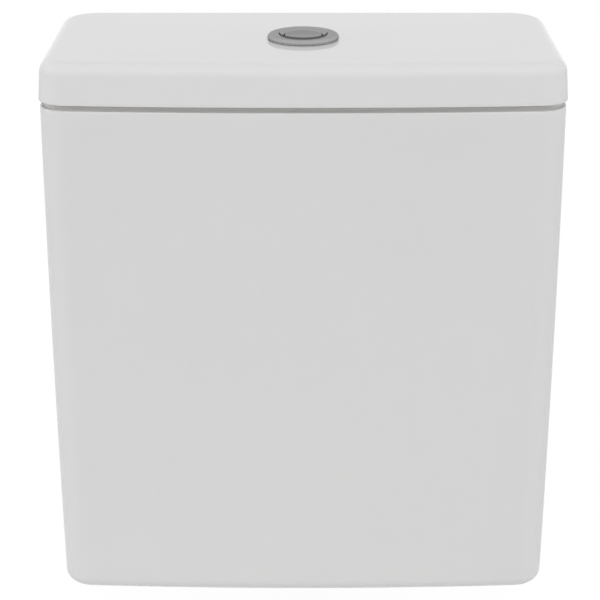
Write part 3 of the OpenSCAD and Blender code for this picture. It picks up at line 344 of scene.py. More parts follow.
def turned(corners, edge, centre=(0, 0), segments=96, radius=None, rows=None):
    """A turned piece with a bore, its profile a closed outline with rounded corners. rows may give the
    heights, the step and the least radius of extra points."""
    profile = rounded(corners, edge)
    if rows is not None:
        profile = with_rows(profile, *rows)
    return around(profile, centre, segments, radius=radius)


def peg(outer, low, high, edge, centre=(0, 0), segments=48):
    """A round bar with rounded ends: quarter arcs from the end faces to the side."""
    a = quarter(5)
    foot = np.stack([outer - edge + edge * np.sin(a), low + edge - edge * np.cos(a)], 1)
    head = np.stack([outer - edge + edge * np.cos(a), high - edge + edge * np.sin(a)], 1)
    guard = np.array([0.97 * (outer - edge)])
    ends = np.stack([guard, guard * 0 + low], 1), np.stack([guard, guard * 0 + high], 1)
    return around(np.concatenate([ends[0], foot, head, ends[1]]), centre, segments, ring=False)


def spindle(corners, edge, centre=(0, 0), segments=48, radius=None, rows=None):
    """A solid turned piece. The corners of its profile go from the axis below to the axis above, and rows
    may give the heights and the step of extra points."""
    corners = np.array(corners, float)
    profile = rounded(corners, np.where(corners[:, 0] > 0, edge, 0))
    profile = profile[profile[:, 0] > 1e-9]
    if rows is not None:
        profile = with_rows(profile, *rows, closed=False)
    return around(profile, centre, segments, ring=False, radius=radius)


def with_rows(profile, low, high, step, inner, closed=True):
    """A profile with more points, step apart, where it lies between two heights and outside a radius."""
    path = np.concatenate([profile, profile[:1]]) if closed else profile
    along = np.concatenate([[0], np.cumsum(np.linalg.norm(np.diff(path, axis=0), axis=1))])
    extra = np.arange(0, along[-1], step)
    r, z = (np.interp(extra, along, path[:, k]) for k in (0, 1))
    extra = extra[(z > low) & (z < high) & (r > inner)]
    every = np.unique(np.concatenate([along[:-1] if closed else along, extra]))
    every = every[np.concatenate([[True], np.diff(every) > 1e-7])]
    return np.stack([np.interp(every, along, path[:, k]) for k in (0, 1)], 1)


def threaded(low, high, outer, pitch, depth):
    """A change of radius that cuts a thread into a side of one radius: a groove that climbs one pitch in
    each turn, flat on the crest and at the root, and fades out at both ends."""
    def cut(r, z, angle):
        climb = (z / pitch - angle / TURN) % 1.0
        groove = np.clip(1.6 * np.abs(2 * climb - 1) - 0.3, 0, 1)
        fade = np.clip(np.minimum(z - low, high - z) / (0.7 * pitch), 0, 1)
        return np.where(np.abs(r - outer) < 1e-6, r - depth * groove * fade, r)
    return cut


def lobed(core, count, width):
    """A change of radius that leaves grips standing: what lies outside the core radius is kept only where
    the cosine of count times the angle is high, along a smooth step, and shrinks to a twentieth elsewhere."""
    def cut(r, z, angle):
        wave = np.clip((np.cos(count * angle) - math.cos(math.pi * width)) / 0.5 + 0.5, 0, 1)
        wave = wave * wave * (3 - 2 * wave)
        return np.where(r > core, core + (r - core) * (0.05 + 0.95 * wave), r)
    return cut


def six_sided(inner, corner, top=math.inf):
    """A change of radius that cuts six flats outside the inner radius and below top: the flats' distance
    over the cosine of the angle from the middle of a flat. A fiftieth of what lies beyond a flat is kept."""
    def cut(r, z, angle):
        flat = corner * math.cos(math.pi / 6) / np.cos(angle % (math.pi / 3) - math.pi / 6)
        return np.where((r > inner) & (z < top), np.minimum(r, flat + 0.02 * (r - flat)), r)
    return cut


def both(first, second):
    """Two changes of radius one after the other."""
    return lambda r, z, angle: second(first(r, z, angle), z, angle)


def inset(outline, distance):
    """An outline drawn in: each point goes inwards along the mean normal of its two sides."""
    along = np.roll(outline, -1, 0) - np.roll(outline, 1, 0)
    along /= np.maximum(np.linalg.norm(along, axis=1), 1e-12)[:, None]
    return outline + distance * np.stack([-along[:, 1], along[:, 0]], 1)


def slab(outline, low, high, edge, steps=3):
    """A flat shape raised from low to high with quarter-round edges."""
    a = quarter(steps + 1)
    depths = np.concatenate([[1.5 * edge], edge * (1 - np.sin(a)), edge * (1 - np.cos(a)), [1.5 * edge]])
    heights = np.concatenate(
        [[low], low + edge * (1 - np.cos(a)), high - edge * (1 - np.sin(a)), [high]]
    )
    rows = [np.column_stack([inset(outline, d), np.full(len(outline), h)]) for d, h in zip(depths, heights)]
    return skin(np.array(rows))


def bar(x0, x1, y0, y1, z0, z1, edge):
    """A bar with rounded edges between two corners."""
    corners = [(x0, y0), (x1, y0), (x1, y1), (x0, y1)]
    return slab(rounded(corners, 1.6 * edge), z0, z1, edge)


def rod_between(outer, low, high, segments=48):
    """A plain cylinder used to cut a hole."""
    profile = np.array([[outer, low], [outer, high]])
    return around(profile, segments=segments, ring=False)


def combined(first, joined=(), removed=()):
    """A shell with others joined to it and others removed from it by exact Booleans."""
    shells = [first, *joined, *removed]
    objects = [bare_object("shell", shell) for shell in shells]
    base = objects[0]
    for tool, operation in zip(objects[1:], ["UNION"] * len(joined) + ["DIFFERENCE"] * len(removed)):
        modifier = base.modifiers.new(operation, "BOOLEAN")
        modifier.operation = operation
        modifier.solver = "EXACT"
        modifier.object = tool
    graph = bpy.context.evaluated_depsgraph_get()
    mesh = bpy.data.meshes.new_from_object(base.evaluated_get(graph))
    points = np.zeros(len(mesh.vertices) * 3)
    mesh.vertices.foreach_get("co", points)
    faces = [list(face.vertices) for face in mesh.polygons]
    bpy.data.meshes.remove(mesh)
    for obj in objects:
        bpy.data.meshes.remove(obj.data)
    return points.reshape(-1, 3), faces


def joined_mesh(name, shells):
    """One mesh of several shells."""
    starts = np.cumsum([0] + [len(points) for points, _ in shells])
    faces = [[k + int(s) for k in face] for s, (_, part) in zip(starts, shells) for face in part]
    mesh = bpy.data.meshes.new(name)
    mesh.from_pydata(np.concatenate([points for points, _ in shells]).tolist(), [], faces)
    skinned = bmesh.new()
    skinned.from_mesh(mesh)
    bmesh.ops.recalc_face_normals(skinned, faces=skinned.faces)
    skinned.to_mesh(mesh)
    skinned.free()
    return mesh


def bare_object(name, *shells):
    """An object made of shells, linked to the scene."""
    obj = bpy.data.objects.new(name, joined_mesh(name, shells))
    bpy.context.scene.collection.objects.link(obj)
    return obj


def make_piece(node, *shells, look=None, crease=40):
    """A finished piece that stands for a CAD node and moves with the node's body. Its look is the finish of
    the node's slot unless another is named."""
    obj = bare_object(node + "_shape", *shells)
    obj.data.polygons.foreach_set("use_smooth", np.ones(len(obj.data.polygons), bool))
    obj.data.set_sharp_from_angle(angle=math.radians(crease))
    obj.data.materials.append(finish(look or SLOTS[node]))
    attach(obj, frame["nodes"][node]["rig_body"])
    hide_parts(node)
    return obj


def ring_piece(node, bore, edge, centre=(0, 0), segments=64, radius=None):
    """A finished flat ring that fills its node's box about a centre."""
    low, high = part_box(node)
    outer = high.x - centre[0]
    return make_piece(node, washer(bore, outer, low.z, high.z, edge, centre, segments, radius))


def dress_node(node):
    """Gives a CAD node that stays as it is its finish."""
    obj = frame["nodes"][node]
    obj.data.materials.clear()
    obj.data.materials.append(finish(SLOTS[node]))
    return obj


# Materials


def add_node(tree, kind, **values):
    """A shader node with some of its settings and inputs given by name."""
    node = tree.nodes.new(kind)
    for key, value in values.items():
        if hasattr(node, key):
            setattr(node, key, value)
        else:
            node.inputs[key.replace("_", " ")].default_value = value
    return node


def new_group(name, inputs, outputs):
    """A shader node group with named sockets, and its input and output nodes."""
    tree = bpy.data.node_groups.new(name, "ShaderNodeTree")
    for direction, sockets in (("INPUT", inputs), ("OUTPUT", outputs)):
        for label, kind in sockets:
            tree.interface.new_socket(name=label, in_out=direction, socket_type=kind)
    return tree, tree.nodes.new("NodeGroupInput"), tree.nodes.new("NodeGroupOutput")


def surface_group():
    """Broad tone and fine grain in Object coordinates.

    The colour drifts towards a second colour by a broad noise times Drift, the roughness spreads about
    its mean by a fine noise, and that fine noise is put out as a height too.
    """
    found = bpy.data.node_groups.get("tone_and_grain")
    if found:
        return found
    tree, given, out = new_group(
        "tone_and_grain",
        [("Color", "NodeSocketColor"), ("Second Color", "NodeSocketColor"), ("Drift", "NodeSocketFloat"),
         ("Broad", "NodeSocketFloat"), ("Fine", "NodeSocketFloat"), ("Roughness", "NodeSocketFloat"),
         ("Spread", "NodeSocketFloat")],
        [("Color", "NodeSocketColor"), ("Roughness", "NodeSocketFloat"), ("Height", "NodeSocketFloat")],
    )
    link = tree.links.new
    place = add_node(tree, "ShaderNodeTexCoord")
    broad = add_node(tree, "ShaderNodeTexNoise", Detail=3.0)
    fine = add_node(tree, "ShaderNodeTexNoise", Detail=2.0)
    for noise, label in ((broad, "Broad"), (fine, "Fine")):
        link(place.outputs["Object"], noise.inputs["Vector"])
        link(given.outputs[label], noise.inputs["Scale"])
    drift = add_node(tree, "ShaderNodeMath", operation="MULTIPLY")
    link(broad.outputs["Fac"], drift.inputs[0])
    link(given.outputs["Drift"], drift.inputs[1])
    mix = add_node(tree, "ShaderNodeMix", data_type="RGBA")
    link(drift.outputs[0], mix.inputs["Factor"])
    link(given.outputs["Color"], mix.inputs[6])
    link(given.outputs["Second Color"], mix.inputs[7])
    link(mix.outputs[2], out.inputs["Color"])
    centred = add_node(tree, "ShaderNodeMath", operation="SUBTRACT")
    centred.inputs[1].default_value = 0.5
    link(fine.outputs["Fac"], centred.inputs[0])
    rough = add_node(tree, "ShaderNodeMath", operation="MULTIPLY_ADD", use_clamp=True)
    link(centred.outputs[0], rough.inputs[0])
    link(given.outputs["Spread"], rough.inputs[1])
    link(given.outputs["Roughness"], rough.inputs[2])
    link(rough.outputs[0], out.inputs["Roughness"])
    link(fine.outputs["Fac"], out.inputs["Height"])
    return tree


def lathe_group():
    """Fine turning marks round an upright axis.

    The distance from the centre, times Scale, is the place on a one-way noise, so that rings of even
    tone lie round the axis. The rings are put out as a height.
    """
    found = bpy.data.node_groups.get("lathe_marks")
    if found:
        return found
    tree, given, out = new_group(
        "lathe_marks",
        [("Centre", "NodeSocketVector"), ("Scale", "NodeSocketFloat")],
        [("Height", "NodeSocketFloat")],
    )
    link = tree.links.new
    place = add_node(tree, "ShaderNodeTexCoord")
    away = add_node(tree, "ShaderNodeVectorMath", operation="SUBTRACT")
    link(place.outputs["Object"], away.inputs[0])
    link(given.outputs["Centre"], away.inputs[1])
    flat = add_node(tree, "ShaderNodeVectorMath", operation="MULTIPLY")
    flat.inputs[1].default_value = (1, 1, 0)
    link(away.outputs[0], flat.inputs[0])
    distance = add_node(tree, "ShaderNodeVectorMath", operation="LENGTH")
    link(flat.outputs[0], distance.inputs[0])
    rings = add_node(tree, "ShaderNodeTexNoise", noise_dimensions="1D", Detail=4.0)
    link(distance.outputs["Value"], rings.inputs["W"])
    link(given.outputs["Scale"], rings.inputs["Scale"])
    link(rings.outputs["Fac"], out.inputs["Height"])
    return tree


def base_material(name, main, second, drift=0.5, broad=30.0, fine=900.0, roughness=0.4, spread=0.1):
    """A material whose colour and roughness come from the tone and grain group. Returns the material,
    its tree, its shader and the group node."""
    material = bpy.data.materials.new(name)
    material.use_nodes = True
    tree = material.node_tree
    shader = tree.nodes["Principled BSDF"]
    tone = add_node(
        tree, "ShaderNodeGroup", node_tree=surface_group(), Color=(*main, 1), Second_Color=(*second, 1),
        Drift=drift, Broad=broad, Fine=fine, Roughness=roughness, Spread=spread
    )
    tree.links.new(tone.outputs["Color"], shader.inputs["Base Color"])
    tree.links.new(tone.outputs["Roughness"], shader.inputs["Roughness"])
    return material, tree, shader, tone


def add_bump(tree, shader, height, strength, distance):
    """A bump from a height socket."""
    bump = add_node(tree, "ShaderNodeBump", Strength=strength, Distance=distance)
    tree.links.new(height, bump.inputs["Height"])
    tree.links.new(bump.outputs["Normal"], shader.inputs["Normal"])


def scaled(value, factor):
    """A colour made lighter or darker."""
    return tuple(min(1.0, channel * factor) for channel in value)


def glaze_finish(name, main, bare_below, biscuit):
    """White glaze with a faint cloud in its tone, bare clay below a height."""
    material, tree, shader, tone = base_material(
        name, main, scaled(main, 0.97), drift=1.0, broad=9.0, fine=26.0, roughness=0.07, spread=0.03
    )
    shader.inputs["IOR"].default_value = 1.5
    link = tree.links.new
    place = add_node(tree, "ShaderNodeTexCoord")
    parts = add_node(tree, "ShaderNodeSeparateXYZ")
    link(place.outputs["Object"], parts.inputs[0])
    bare = add_node(
        tree, "ShaderNodeMapRange", interpolation_type="SMOOTHSTEP",
        From_Min=bare_below + 0.4 * MM, From_Max=bare_below, To_Min=0.0, To_Max=1.0
    )
    link(parts.outputs["Z"], bare.inputs["Value"])
    clay = add_node(tree, "ShaderNodeMix", data_type="RGBA")
    clay.inputs[7].default_value = (*biscuit, 1)
    link(bare.outputs["Result"], clay.inputs["Factor"])
    link(tone.outputs["Color"], clay.inputs[6])
    link(clay.outputs[2], shader.inputs["Base Color"])
    dull = add_node(tree, "ShaderNodeMath", operation="MULTIPLY_ADD", use_clamp=True)
    dull.inputs[1].default_value = 0.6
    link(bare.outputs["Result"], dull.inputs[0])
    link(tone.outputs["Roughness"], dull.inputs[2])
    link(dull.outputs[0], shader.inputs["Roughness"])
    add_bump(tree, shader, tone.outputs["Height"], 0.02, 1 * MM)
    return material


def chrome_finish(name, main):
    """Satin chrome with fine turning marks about the button's axis."""
    material, tree, shader, _ = base_material(
        name, scaled(main, 1.06), scaled(main, 0.92), drift=1.0, broad=55.0, fine=420.0, roughness=0.18,
        spread=0.10
    )
    shader.inputs["Metallic"].default_value = 1.0
    shader.inputs["Specular Tint"].default_value = (0.6, 0.6, 0.6, 1)
    centre = (*middle("button_surround"), 0)
    marks = add_node(tree, "ShaderNodeGroup", node_tree=lathe_group(), Centre=centre, Scale=3200.0)
    add_bump(tree, shader, marks.outputs["Height"], 0.05, 0.05 * MM)
    return material


def metal_finish(name, main, roughness, scale):
    """Plain turned or drawn metal with stains and fine marks."""
    material, tree, shader, tone = base_material(
        name, main, scaled(main, 0.72), drift=0.8, broad=scale, fine=1400.0, roughness=roughness, spread=0.2
    )
    shader.inputs["Metallic"].default_value = 1.0
    add_bump(tree, shader, tone.outputs["Height"], 0.08, 0.05 * MM)
    return material


def plastic_finish(name, main, roughness, grain):
    """Moulded plastic with a fine spark-eroded grain."""
    material, tree, shader, tone = base_material(
        name, main, scaled(main, 0.9), drift=0.7, broad=24.0, fine=2600.0, roughness=roughness, spread=0.12
    )
    add_bump(tree, shader, tone.outputs["Height"], grain, 0.1 * MM)
    return material


def float_finish(name, main):
    """Pale, slightly waxy plastic."""
    material = plastic_finish(name, main, 0.35, 0.05)
    shader = material.node_tree.nodes["Principled BSDF"]
    shader.inputs["Subsurface Weight"].default_value = 0.25
    shader.inputs["Subsurface Radius"].default_value = (2 * MM, 2 * MM, 2 * MM)
    return material


def rubber_finish(name, main):
    """Rubber with a dusty bloom."""
    material, tree, shader, tone = base_material(
        name, main, scaled(main, 1.8), drift=0.8, broad=60.0, fine=1800.0, roughness=0.62, spread=0.2
    )
    add_bump(tree, shader, tone.outputs["Height"], 0.15, 0.1 * MM)
    return material


def foam_finish(name, main):
    """Open-celled foam: rounded cells of a Voronoi pattern as bump, and a tone that drifts lighter in broad
    patches.
    """
    material, tree, shader, _ = base_material(
        name, main, scaled(main, 2.0), drift=1.0, broad=220.0, fine=1200.0, roughness=0.9, spread=0.1
    )
    place = add_node(tree, "ShaderNodeTexCoord")
    cells = add_node(tree, "ShaderNodeTexVoronoi", Scale=620.0)
    tree.links.new(place.outputs["Object"], cells.inputs["Vector"])
    add_bump(tree, shader, cells.outputs["Distance"], 0.8, 0.5 * MM)
    return material


def finish(slot):
    """The material of a slot, made when it is first used. The lid's glaze has a name of its own."""
    name = slot + "_finish"
    made = bpy.data.materials.get(name)
    if made:
        return made
    colours = bpy.context.scene.cistern_finishes
    main = tuple(getattr(colours, slot.replace("_lid", "")))
    if slot == "glaze":
        return glaze_finish(name, main, 0.5 * MM, tuple(colours.biscuit))
    if slot == "glaze_lid":
        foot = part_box("lid_pads")[1].z
        return glaze_finish(name, main, foot + 0.1 * MM, tuple(colours.biscuit))
    if slot in ("chrome", "disc"):
        return chrome_finish(name, main)
    if slot in ("steel", "spring_steel", "brass"):
        return metal_finish(name, main, 0.32, 90.0)
    if slot in ("rubber", "pale_rubber", "red_seal"):
        return rubber_finish(name, main)
    if slot == "foam":
        return foam_finish(name, main)
    if slot == "float_plastic":
        return float_finish(name, main)
    return plastic_finish(name, main, 0.38, 0.06)


# Ceramic bodies


def plan_rows(half_w, front, back, bow, front_r, back_r):
    """Outlines in plan, one per row, with an equal number of points in each.

    The front is an arc that falls back by bow at half_w, its corners are arcs of front_r tangent to it
    and to the sides, the sides are straight, and arcs of back_r lead to the straight back. The left half
    mirrors the right one.
    """
    half_w, front, back, front_r, back_r = (
        np.asarray(v, float).reshape(-1, 1) for v in np.broadcast_arrays(half_w, front, back, front_r, back_r)
    )
    bow_r = (half_w ** 2 + bow ** 2) / (2 * bow)
    middle_y = front + bow_r
    corner_x = half_w - front_r
    corner_y = middle_y - np.sqrt((bow_r - front_r) ** 2 - corner_x ** 2)
    sweep = np.arctan2(corner_x, middle_y - corner_y)
    a = sweep * np.linspace(0, 1, 25)
    b = sweep + (math.pi / 2 - sweep) * np.linspace(0, 1, 21)[1:]
    s = np.linspace(0, 1, 9)[1:-1]
    c = math.pi / 2 * np.linspace(0, 1, 21)
    k = np.linspace(1, 0, 13)[1:]
    x = [bow_r * np.sin(a), corner_x + front_r * np.sin(b), half_w + 0 * s,
         half_w - back_r + back_r * np.cos(c), (half_w - back_r) * k]
    y = [middle_y - bow_r * np.cos(a), corner_y - front_r * np.cos(b),
         corner_y + (back - back_r - corner_y) * s, back - back_r + back_r * np.sin(c), back + 0 * k]
    x, y = np.concatenate(x, 1), np.concatenate(y, 1)
    x, y = (np.concatenate([x, -x[:, -2:0:-1]], 1), np.concatenate([y, y[:, -2:0:-1]], 1))
    return x, y


def tank_shell():
    """The tank as one skin from the underside, up the outside, over the rim and down to the floor.

    A row is the plan outline at its height, drawn in by its inset. Heights and insets follow quarter
    circles at the edges and straight lines between them, with a rebate round the rim under the lid.
    """
    size = ceramic()
    low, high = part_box("tank")
    top = high.z
    edge, rim, inner, cove, wall = size.base_edge, size.rim_edge, size.rim_inner, size.cove, size.wall
    shoulder, rebate = top - size.rebate_height, size.rebate
    root, tip, flat = 0.8 * MM, 0.6 * MM, 3 * MM
    half_w, back = high.x, high.y
    front = low.y - size.lean * (top - shoulder + rim) / top
    a = quarter(13)
    b = quarter(9)
    floor = size.floor
    climb = np.linspace(edge, shoulder - rim, 41)[1:-1]
    fall = np.linspace(top - inner, floor + cove, 17)[1:-1]
    z = np.concatenate([
        [0], edge * (1 - np.cos(a)), climb, shoulder - rim + rim * np.sin(b),
        shoulder + root - root * np.cos(b), top - tip + tip * np.sin(b), top - inner + inner * np.cos(b),
        fall, floor + cove - cove * np.sin(b), [floor],
    ])
    drawn_in = np.concatenate([
        [edge + flat], edge * (1 - np.sin(a)), 0 * climb, rim * (1 - np.cos(b)),
        rebate - root + root * np.sin(b), rebate + tip - tip * np.cos(b), wall - inner * (1 - np.sin(b)),
        0 * fall + wall, wall + cove * (1 - np.cos(b)), [wall + cove + flat],
    ])
    t = (top - z) / top
    half_rim = half_w - lift_of_side(size)
    half = half_rim - size.taper * t + 4 * size.bulge * t * (1 - t) - drawn_in
    least = 0.8 * MM
    x, y = plan_rows(
        half, front + size.lean * t + drawn_in, back - drawn_in, size.tank_bow,
        np.maximum(size.tank_corner - drawn_in, least), np.maximum(size.tank_back - drawn_in, least)
    )
    grid = np.stack([x, y, np.repeat(z[:, None], x.shape[1], 1)], -1)
    return skin(grid)


def lift_of_side(size):
    """How far the sides swell past the rim at their widest: the top of the curve
    4 * bulge * t * (1 - t) - taper * t, where t is the share of the height below the rim."""
    t = 0.5 - size.taper / (8 * size.bulge)
    return max(0.0, 4 * size.bulge * t * (1 - t) - size.taper * t)


def middle(node):
    """Middle of a node's box in plan."""
    low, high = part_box(node)
    return (low.x + high.x) / 2, (low.y + high.y) / 2


def bolt_places():
    """Places of the two coupling bolts along X."""
    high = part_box("outer_rubber_washers")[1]
    return high.y - high.x, high.x - high.y


def flared_hole(radius, low, high, flare):
    """A cutter for a hole whose edges are broken by a chamfer."""
    profile = np.array([
        [radius + 2 * flare, low - flare], [radius, low + flare], [radius, high - flare],
        [radius + 2 * flare, high + flare],
    ])
    return around(profile, segments=64, ring=False)


class CISTERN_OT_tank(Operator):
    """Makes the glazed tank with its outlet, bolt, inlet and wall screw holes"""

    bl_idname = "cistern.tank"
    bl_label = "Tank"

    def execute(self, context):
        size = ceramic()
        fitting = fittings()
        flare = 0.8 * MM
        holes = [
            flared_hole(fitting.tail + size.hole_play, 0, size.floor, flare),
            moved(flared_hole(fitting.inlet + size.hole_play, 0, size.floor, flare), *middle("lock_ring")),
        ]
        holes += [moved(flared_hole(size.bolt_hole, 0, size.floor, flare), x) for x in bolt_places()]
        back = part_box("tank")[1].y
        for x in (-size.screw_side, size.screw_side):
            hole = along_y(flared_hole(size.screw_hole, -back, size.wall - back, flare))
            holes.append(moved(hole, x, 0, size.screw_height))
        shell = combined(tank_shell(), removed=holes)
        make_piece("tank", shell, crease=30)
        return {"FINISHED"}


def lid_shell():
    """The lid as one skin from its ceiling, round the locating lip, up the edge and over the top.

    The rows follow quarter circles at the edges. The top rises by the crown along 3 u^2 - 2 u^3, where u
    is the share of the way from the edge to the button.
    """
    size = ceramic()
    low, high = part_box("lid")
    top = high.z - size.lid_crown
    foot = top - size.lid_height
    ceiling = top - size.lid_top
    outer, lip = size.lip_inset, size.lip
    root, tip = 4 * MM, 2 * MM
    a = quarter(13)
    b = quarter(7)
    edge, under = size.lid_edge, size.lid_low_edge
    side = np.linspace(foot + under, top - edge, 9)[1:-1]
    draft = size.lid_draft * (side - foot) / size.lid_height
    edge_in = size.lid_draft * (size.lid_height - edge) / size.lid_height
    z = np.concatenate([
        [ceiling], ceiling - root * (1 - np.cos(b)), low.z + tip - tip * np.sin(b),
        low.z + tip - tip * np.cos(b), foot - under + under * np.sin(b), [foot],
        foot + under * (1 - np.cos(b)), side, top - edge + edge * np.sin(a),
    ])
    drawn_in = np.concatenate([
        [outer + lip + 2 * root], outer + lip + root * (1 - np.sin(b)), outer + lip - tip + tip * np.cos(b),
        outer + tip - tip * np.sin(b), outer - under * (1 - np.cos(b)), [under + 2 * MM],
        under * (1 - np.sin(b)), draft, edge_in + edge * (1 - np.cos(a)),
    ])
    least = 0.8 * MM
    x, y = plan_rows(
        high.x - drawn_in, low.y + drawn_in, high.y - drawn_in, size.lid_bow,
        np.maximum(size.lid_corner - drawn_in, least), np.maximum(size.lid_back - drawn_in, least)
    )
    grid = np.stack([x, y, np.repeat(z[:, None], x.shape[1], 1)], -1)
    share_left = np.linspace(1, 0.4, 16)[1:, None]
    u = (1 - share_left) / 0.6
    rim = grid[-1]
    axis = middle("button_surround")[1]
    crown = np.stack([
        rim[:, 0] * share_left, axis + (rim[:, 1] - axis) * share_left,
        np.repeat(top + size.lid_crown * (3 * u ** 2 - 2 * u ** 3), x.shape[1], 1)
    ], -1)
    return skin(np.concatenate([grid, crown]))


class CISTERN_OT_lid(Operator):
    """Makes the glazed lid with its button hole"""

    bl_idname = "cistern.lid"
    bl_label = "Lid"

    def execute(self, context):
        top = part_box("lid")[1].z
        size = ceramic()
        fitting = fittings()
        bottom = top - size.lid_crown - size.lid_top
        hole = flared_hole(fitting.barrel + fitting.barrel_play, bottom, top, 0.6 * MM)
        shell = combined(lid_shell(), removed=[moved(hole, *middle("button_surround"))])
        make_piece("lid", shell, look="glaze_lid", crease=30)
        dress_node("lid_pads")
        return {"FINISHED"}


# Button unit


def surround_profile(size):
    """Section of the button surround: a threaded barrel, a flange with a quarter-round lower edge, a side, a
    shoulder along a quarter of an ellipse and a top that rises a little to the rounded inner edge."""
    low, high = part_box("button_surround")
    outer = (high.x - low.x) / 2
    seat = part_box("surround_seal")[1].z
    side, top = seat + size.surround_edge, high.z - size.shoulder_fall
    foot, lip, end = 0.4 * MM, 0.6 * MM, 0.5 * MM
    a, b = quarter(13), quarter(7)
    barrel = [
        (size.opening, low.z), (size.barrel - end, low.z), (size.barrel, low.z + end), (size.barrel, seat)
    ]
    flange = np.stack([outer - foot + foot * np.sin(b), seat + foot - foot * np.cos(b)], 1)
    shoulder = np.stack([outer - size.shoulder * (1 - np.cos(a)), side + (top - side) * np.sin(a)], 1)
    inner = np.stack([size.opening + lip * (1 - np.sin(b)), high.z - lip + lip * np.cos(b)], 1)
    return np.concatenate([barrel, flange, shoulder, inner])


class CISTERN_OT_surround(Operator):
    """Makes the button surround with its threaded barrel, its seal, clamp nut and guide plate"""

    bl_idname = "cistern.surround"
    bl_label = "Button surround"

    def execute(self, context):
        size = fittings()
        axis = middle("button_surround")
        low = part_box("button_surround")[0]
        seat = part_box("surround_seal")[1].z
        pitch = size.barrel_pitch
        profile = with_rows(surround_profile(size), low.z, seat, pitch / 8, size.barrel - 0.01 * MM)
        cut = threaded(low.z, seat - 2 * MM, size.barrel, pitch, 0.9 * MM)
        make_piece("button_surround", around(profile, axis, 192, radius=cut))
        grips = lobed(core=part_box("clamp_nut")[1].x - 3 * MM, count=8, width=0.22)
        ring_piece("clamp_nut", size.barrel, 0.8 * MM, axis, 160, grips)
        ring_piece("surround_seal", size.barrel, 0.2 * MM, axis, 96)
        dress_node("guide_plate")
        return {"FINISHED"}


def full_button_shell(size):
    """The disc where two circles overlap: its own circle and that of the opening.

    From its centre the radius at each angle is the lesser of its own radius and the distance to the
    opening's circle, v + sqrt(opening^2 - u^2) with u and v the offset times the angle's cosine and sine.
    The rows follow a quarter circle at the upper edge, and the top is dished along 1 - share^2.
    """
    low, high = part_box("full_flush_button")
    segments, edge = 192, size.button_edge
    angle = TURN * np.arange(segments)[None, :] / segments
    a = quarter(7)
    drawn_in = np.concatenate([[edge, 0.4 * edge, 0, 0], edge * (1 - np.cos(a))])[:, None]
    z = np.concatenate([
        [low.z, low.z, low.z + 0.4 * edge, high.z - 1.3 * edge], high.z - edge + edge * np.sin(a)
    ])
    u, v = size.full_offset * np.cos(angle), size.full_offset * np.sin(angle)
    opening = size.opening - size.button_gap - drawn_in
    r = np.minimum(size.full_button - drawn_in, v + np.sqrt(opening ** 2 - u ** 2))
    left = np.array([0.96, 0.8, 0.6, 0.4, 0.2, 0.05])[:, None]
    dish = size.button_dish * (1 - left ** 2)
    r = np.concatenate([r, r[-1:] * left])
    z = np.repeat(np.concatenate([z[:, None], high.z - dish]), segments, 1)
    x, y = middle("button_surround")
    grid = np.stack([x + r * np.cos(angle), y + r * np.sin(angle) - size.full_offset, z], -1)
    return skin(grid)


def half_button_shell(size):
    """The crescent of the half-flush button, behind the full one.

    Rays from the point midway between the two centres meet the inner and the outer circle at
    sqrt(radius^2 - u^2) less or plus v, with u and v half the offset times the ray's cosine and sine. The
    section, up the inner side, over the rounded top and down the outer side, is carried along the rays
    from horn to horn, and ends where the crescent is too thin to mould.
    """
    low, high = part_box("half_flush_button")
    half = size.full_offset / 2
    inner, outer = size.full_button + size.split, size.opening - size.button_gap
    thin = 0.3 * MM
    start = math.asin((thin - (outer - inner)) / (2 * half))
    angle = np.linspace(start, math.pi - start, 121)[:, None]
    u, v = half * np.cos(angle), half * np.sin(angle)
    width = 2 * v + np.sqrt(outer ** 2 - u ** 2) - np.sqrt(inner ** 2 - u ** 2)
    edge = np.minimum(size.button_edge, 0.35 * width)
    a = quarter(6)[None, :]
    rise = np.concatenate([0 * a[:, :1], np.sin(a)], 1)
    depth = np.concatenate([0 * a[:, :1], 1 - np.cos(a)], 1) * edge
    z = high.z - edge + edge * rise
    z[:, 0] = low.z
    near = np.sqrt((inner + depth) ** 2 - u ** 2) - v
    far = np.sqrt((outer - depth) ** 2 - u ** 2) + v
    r = np.concatenate([near, far[:, ::-1]], 1)
    z = np.concatenate([z, z[:, ::-1]], 1)
    x, y = middle("button_surround")
    grid = np.stack([x + r * np.cos(angle), y + r * np.sin(angle) - half, z], -1)
    return skin(grid)


class CISTERN_OT_buttons(Operator):
    """Makes the two flush buttons and their push rods"""

    bl_idname = "cistern.buttons"
    bl_label = "Buttons"

    def execute(self, context):
        size = fittings()
        # The disc's darker chrome colour is painted shade for what its dished top would mirror.
        make_piece("full_flush_button", full_button_shell(size), look="disc")
        make_piece("half_flush_button", half_button_shell(size))
        for node in ("full_push_rod", "half_push_rod"):
            low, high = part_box(node)
            foot, rod = high.x, 0.6 * high.x
            rim, neck = low.z + 2.5 * MM, low.z + 3.4 * MM
            corners = [(0, low.z), (foot, low.z), (foot, rim), (rod, neck), (rod, high.z), (0, high.z)]
            make_piece(node, spindle(corners, 0.5 * MM, middle(node), 32))
        return {"FINISHED"}


def spring_shell(node, size):
    """A coil spring with closed ends: a circle of the wire's radius carried along a helix whose height
    follows t - sin(2 pi t) / (2 pi) mixed with t, so that the last curls lie close together."""
    low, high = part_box(node)
    wire, mean = size.spring_wire, size.spring
    coils, steps, sides = 8, 28, 10
    t = np.linspace(0, 1, coils * steps + 1)[:, None]
    rise = 0.55 * t + 0.45 * (t - np.sin(TURN * t) / TURN)
    height = low.z + wire + (high.z - low.z - 2 * wire) * rise
    turn = coils * TURN * t
    b = -TURN * np.arange(sides)[None, :] / sides
    r = mean + wire * np.cos(b)
    grid = np.stack([
        r * np.cos(turn), (low.y + high.y) / 2 + r * np.sin(turn), height + wire * np.sin(b)
    ], -1)
    return skin(grid)


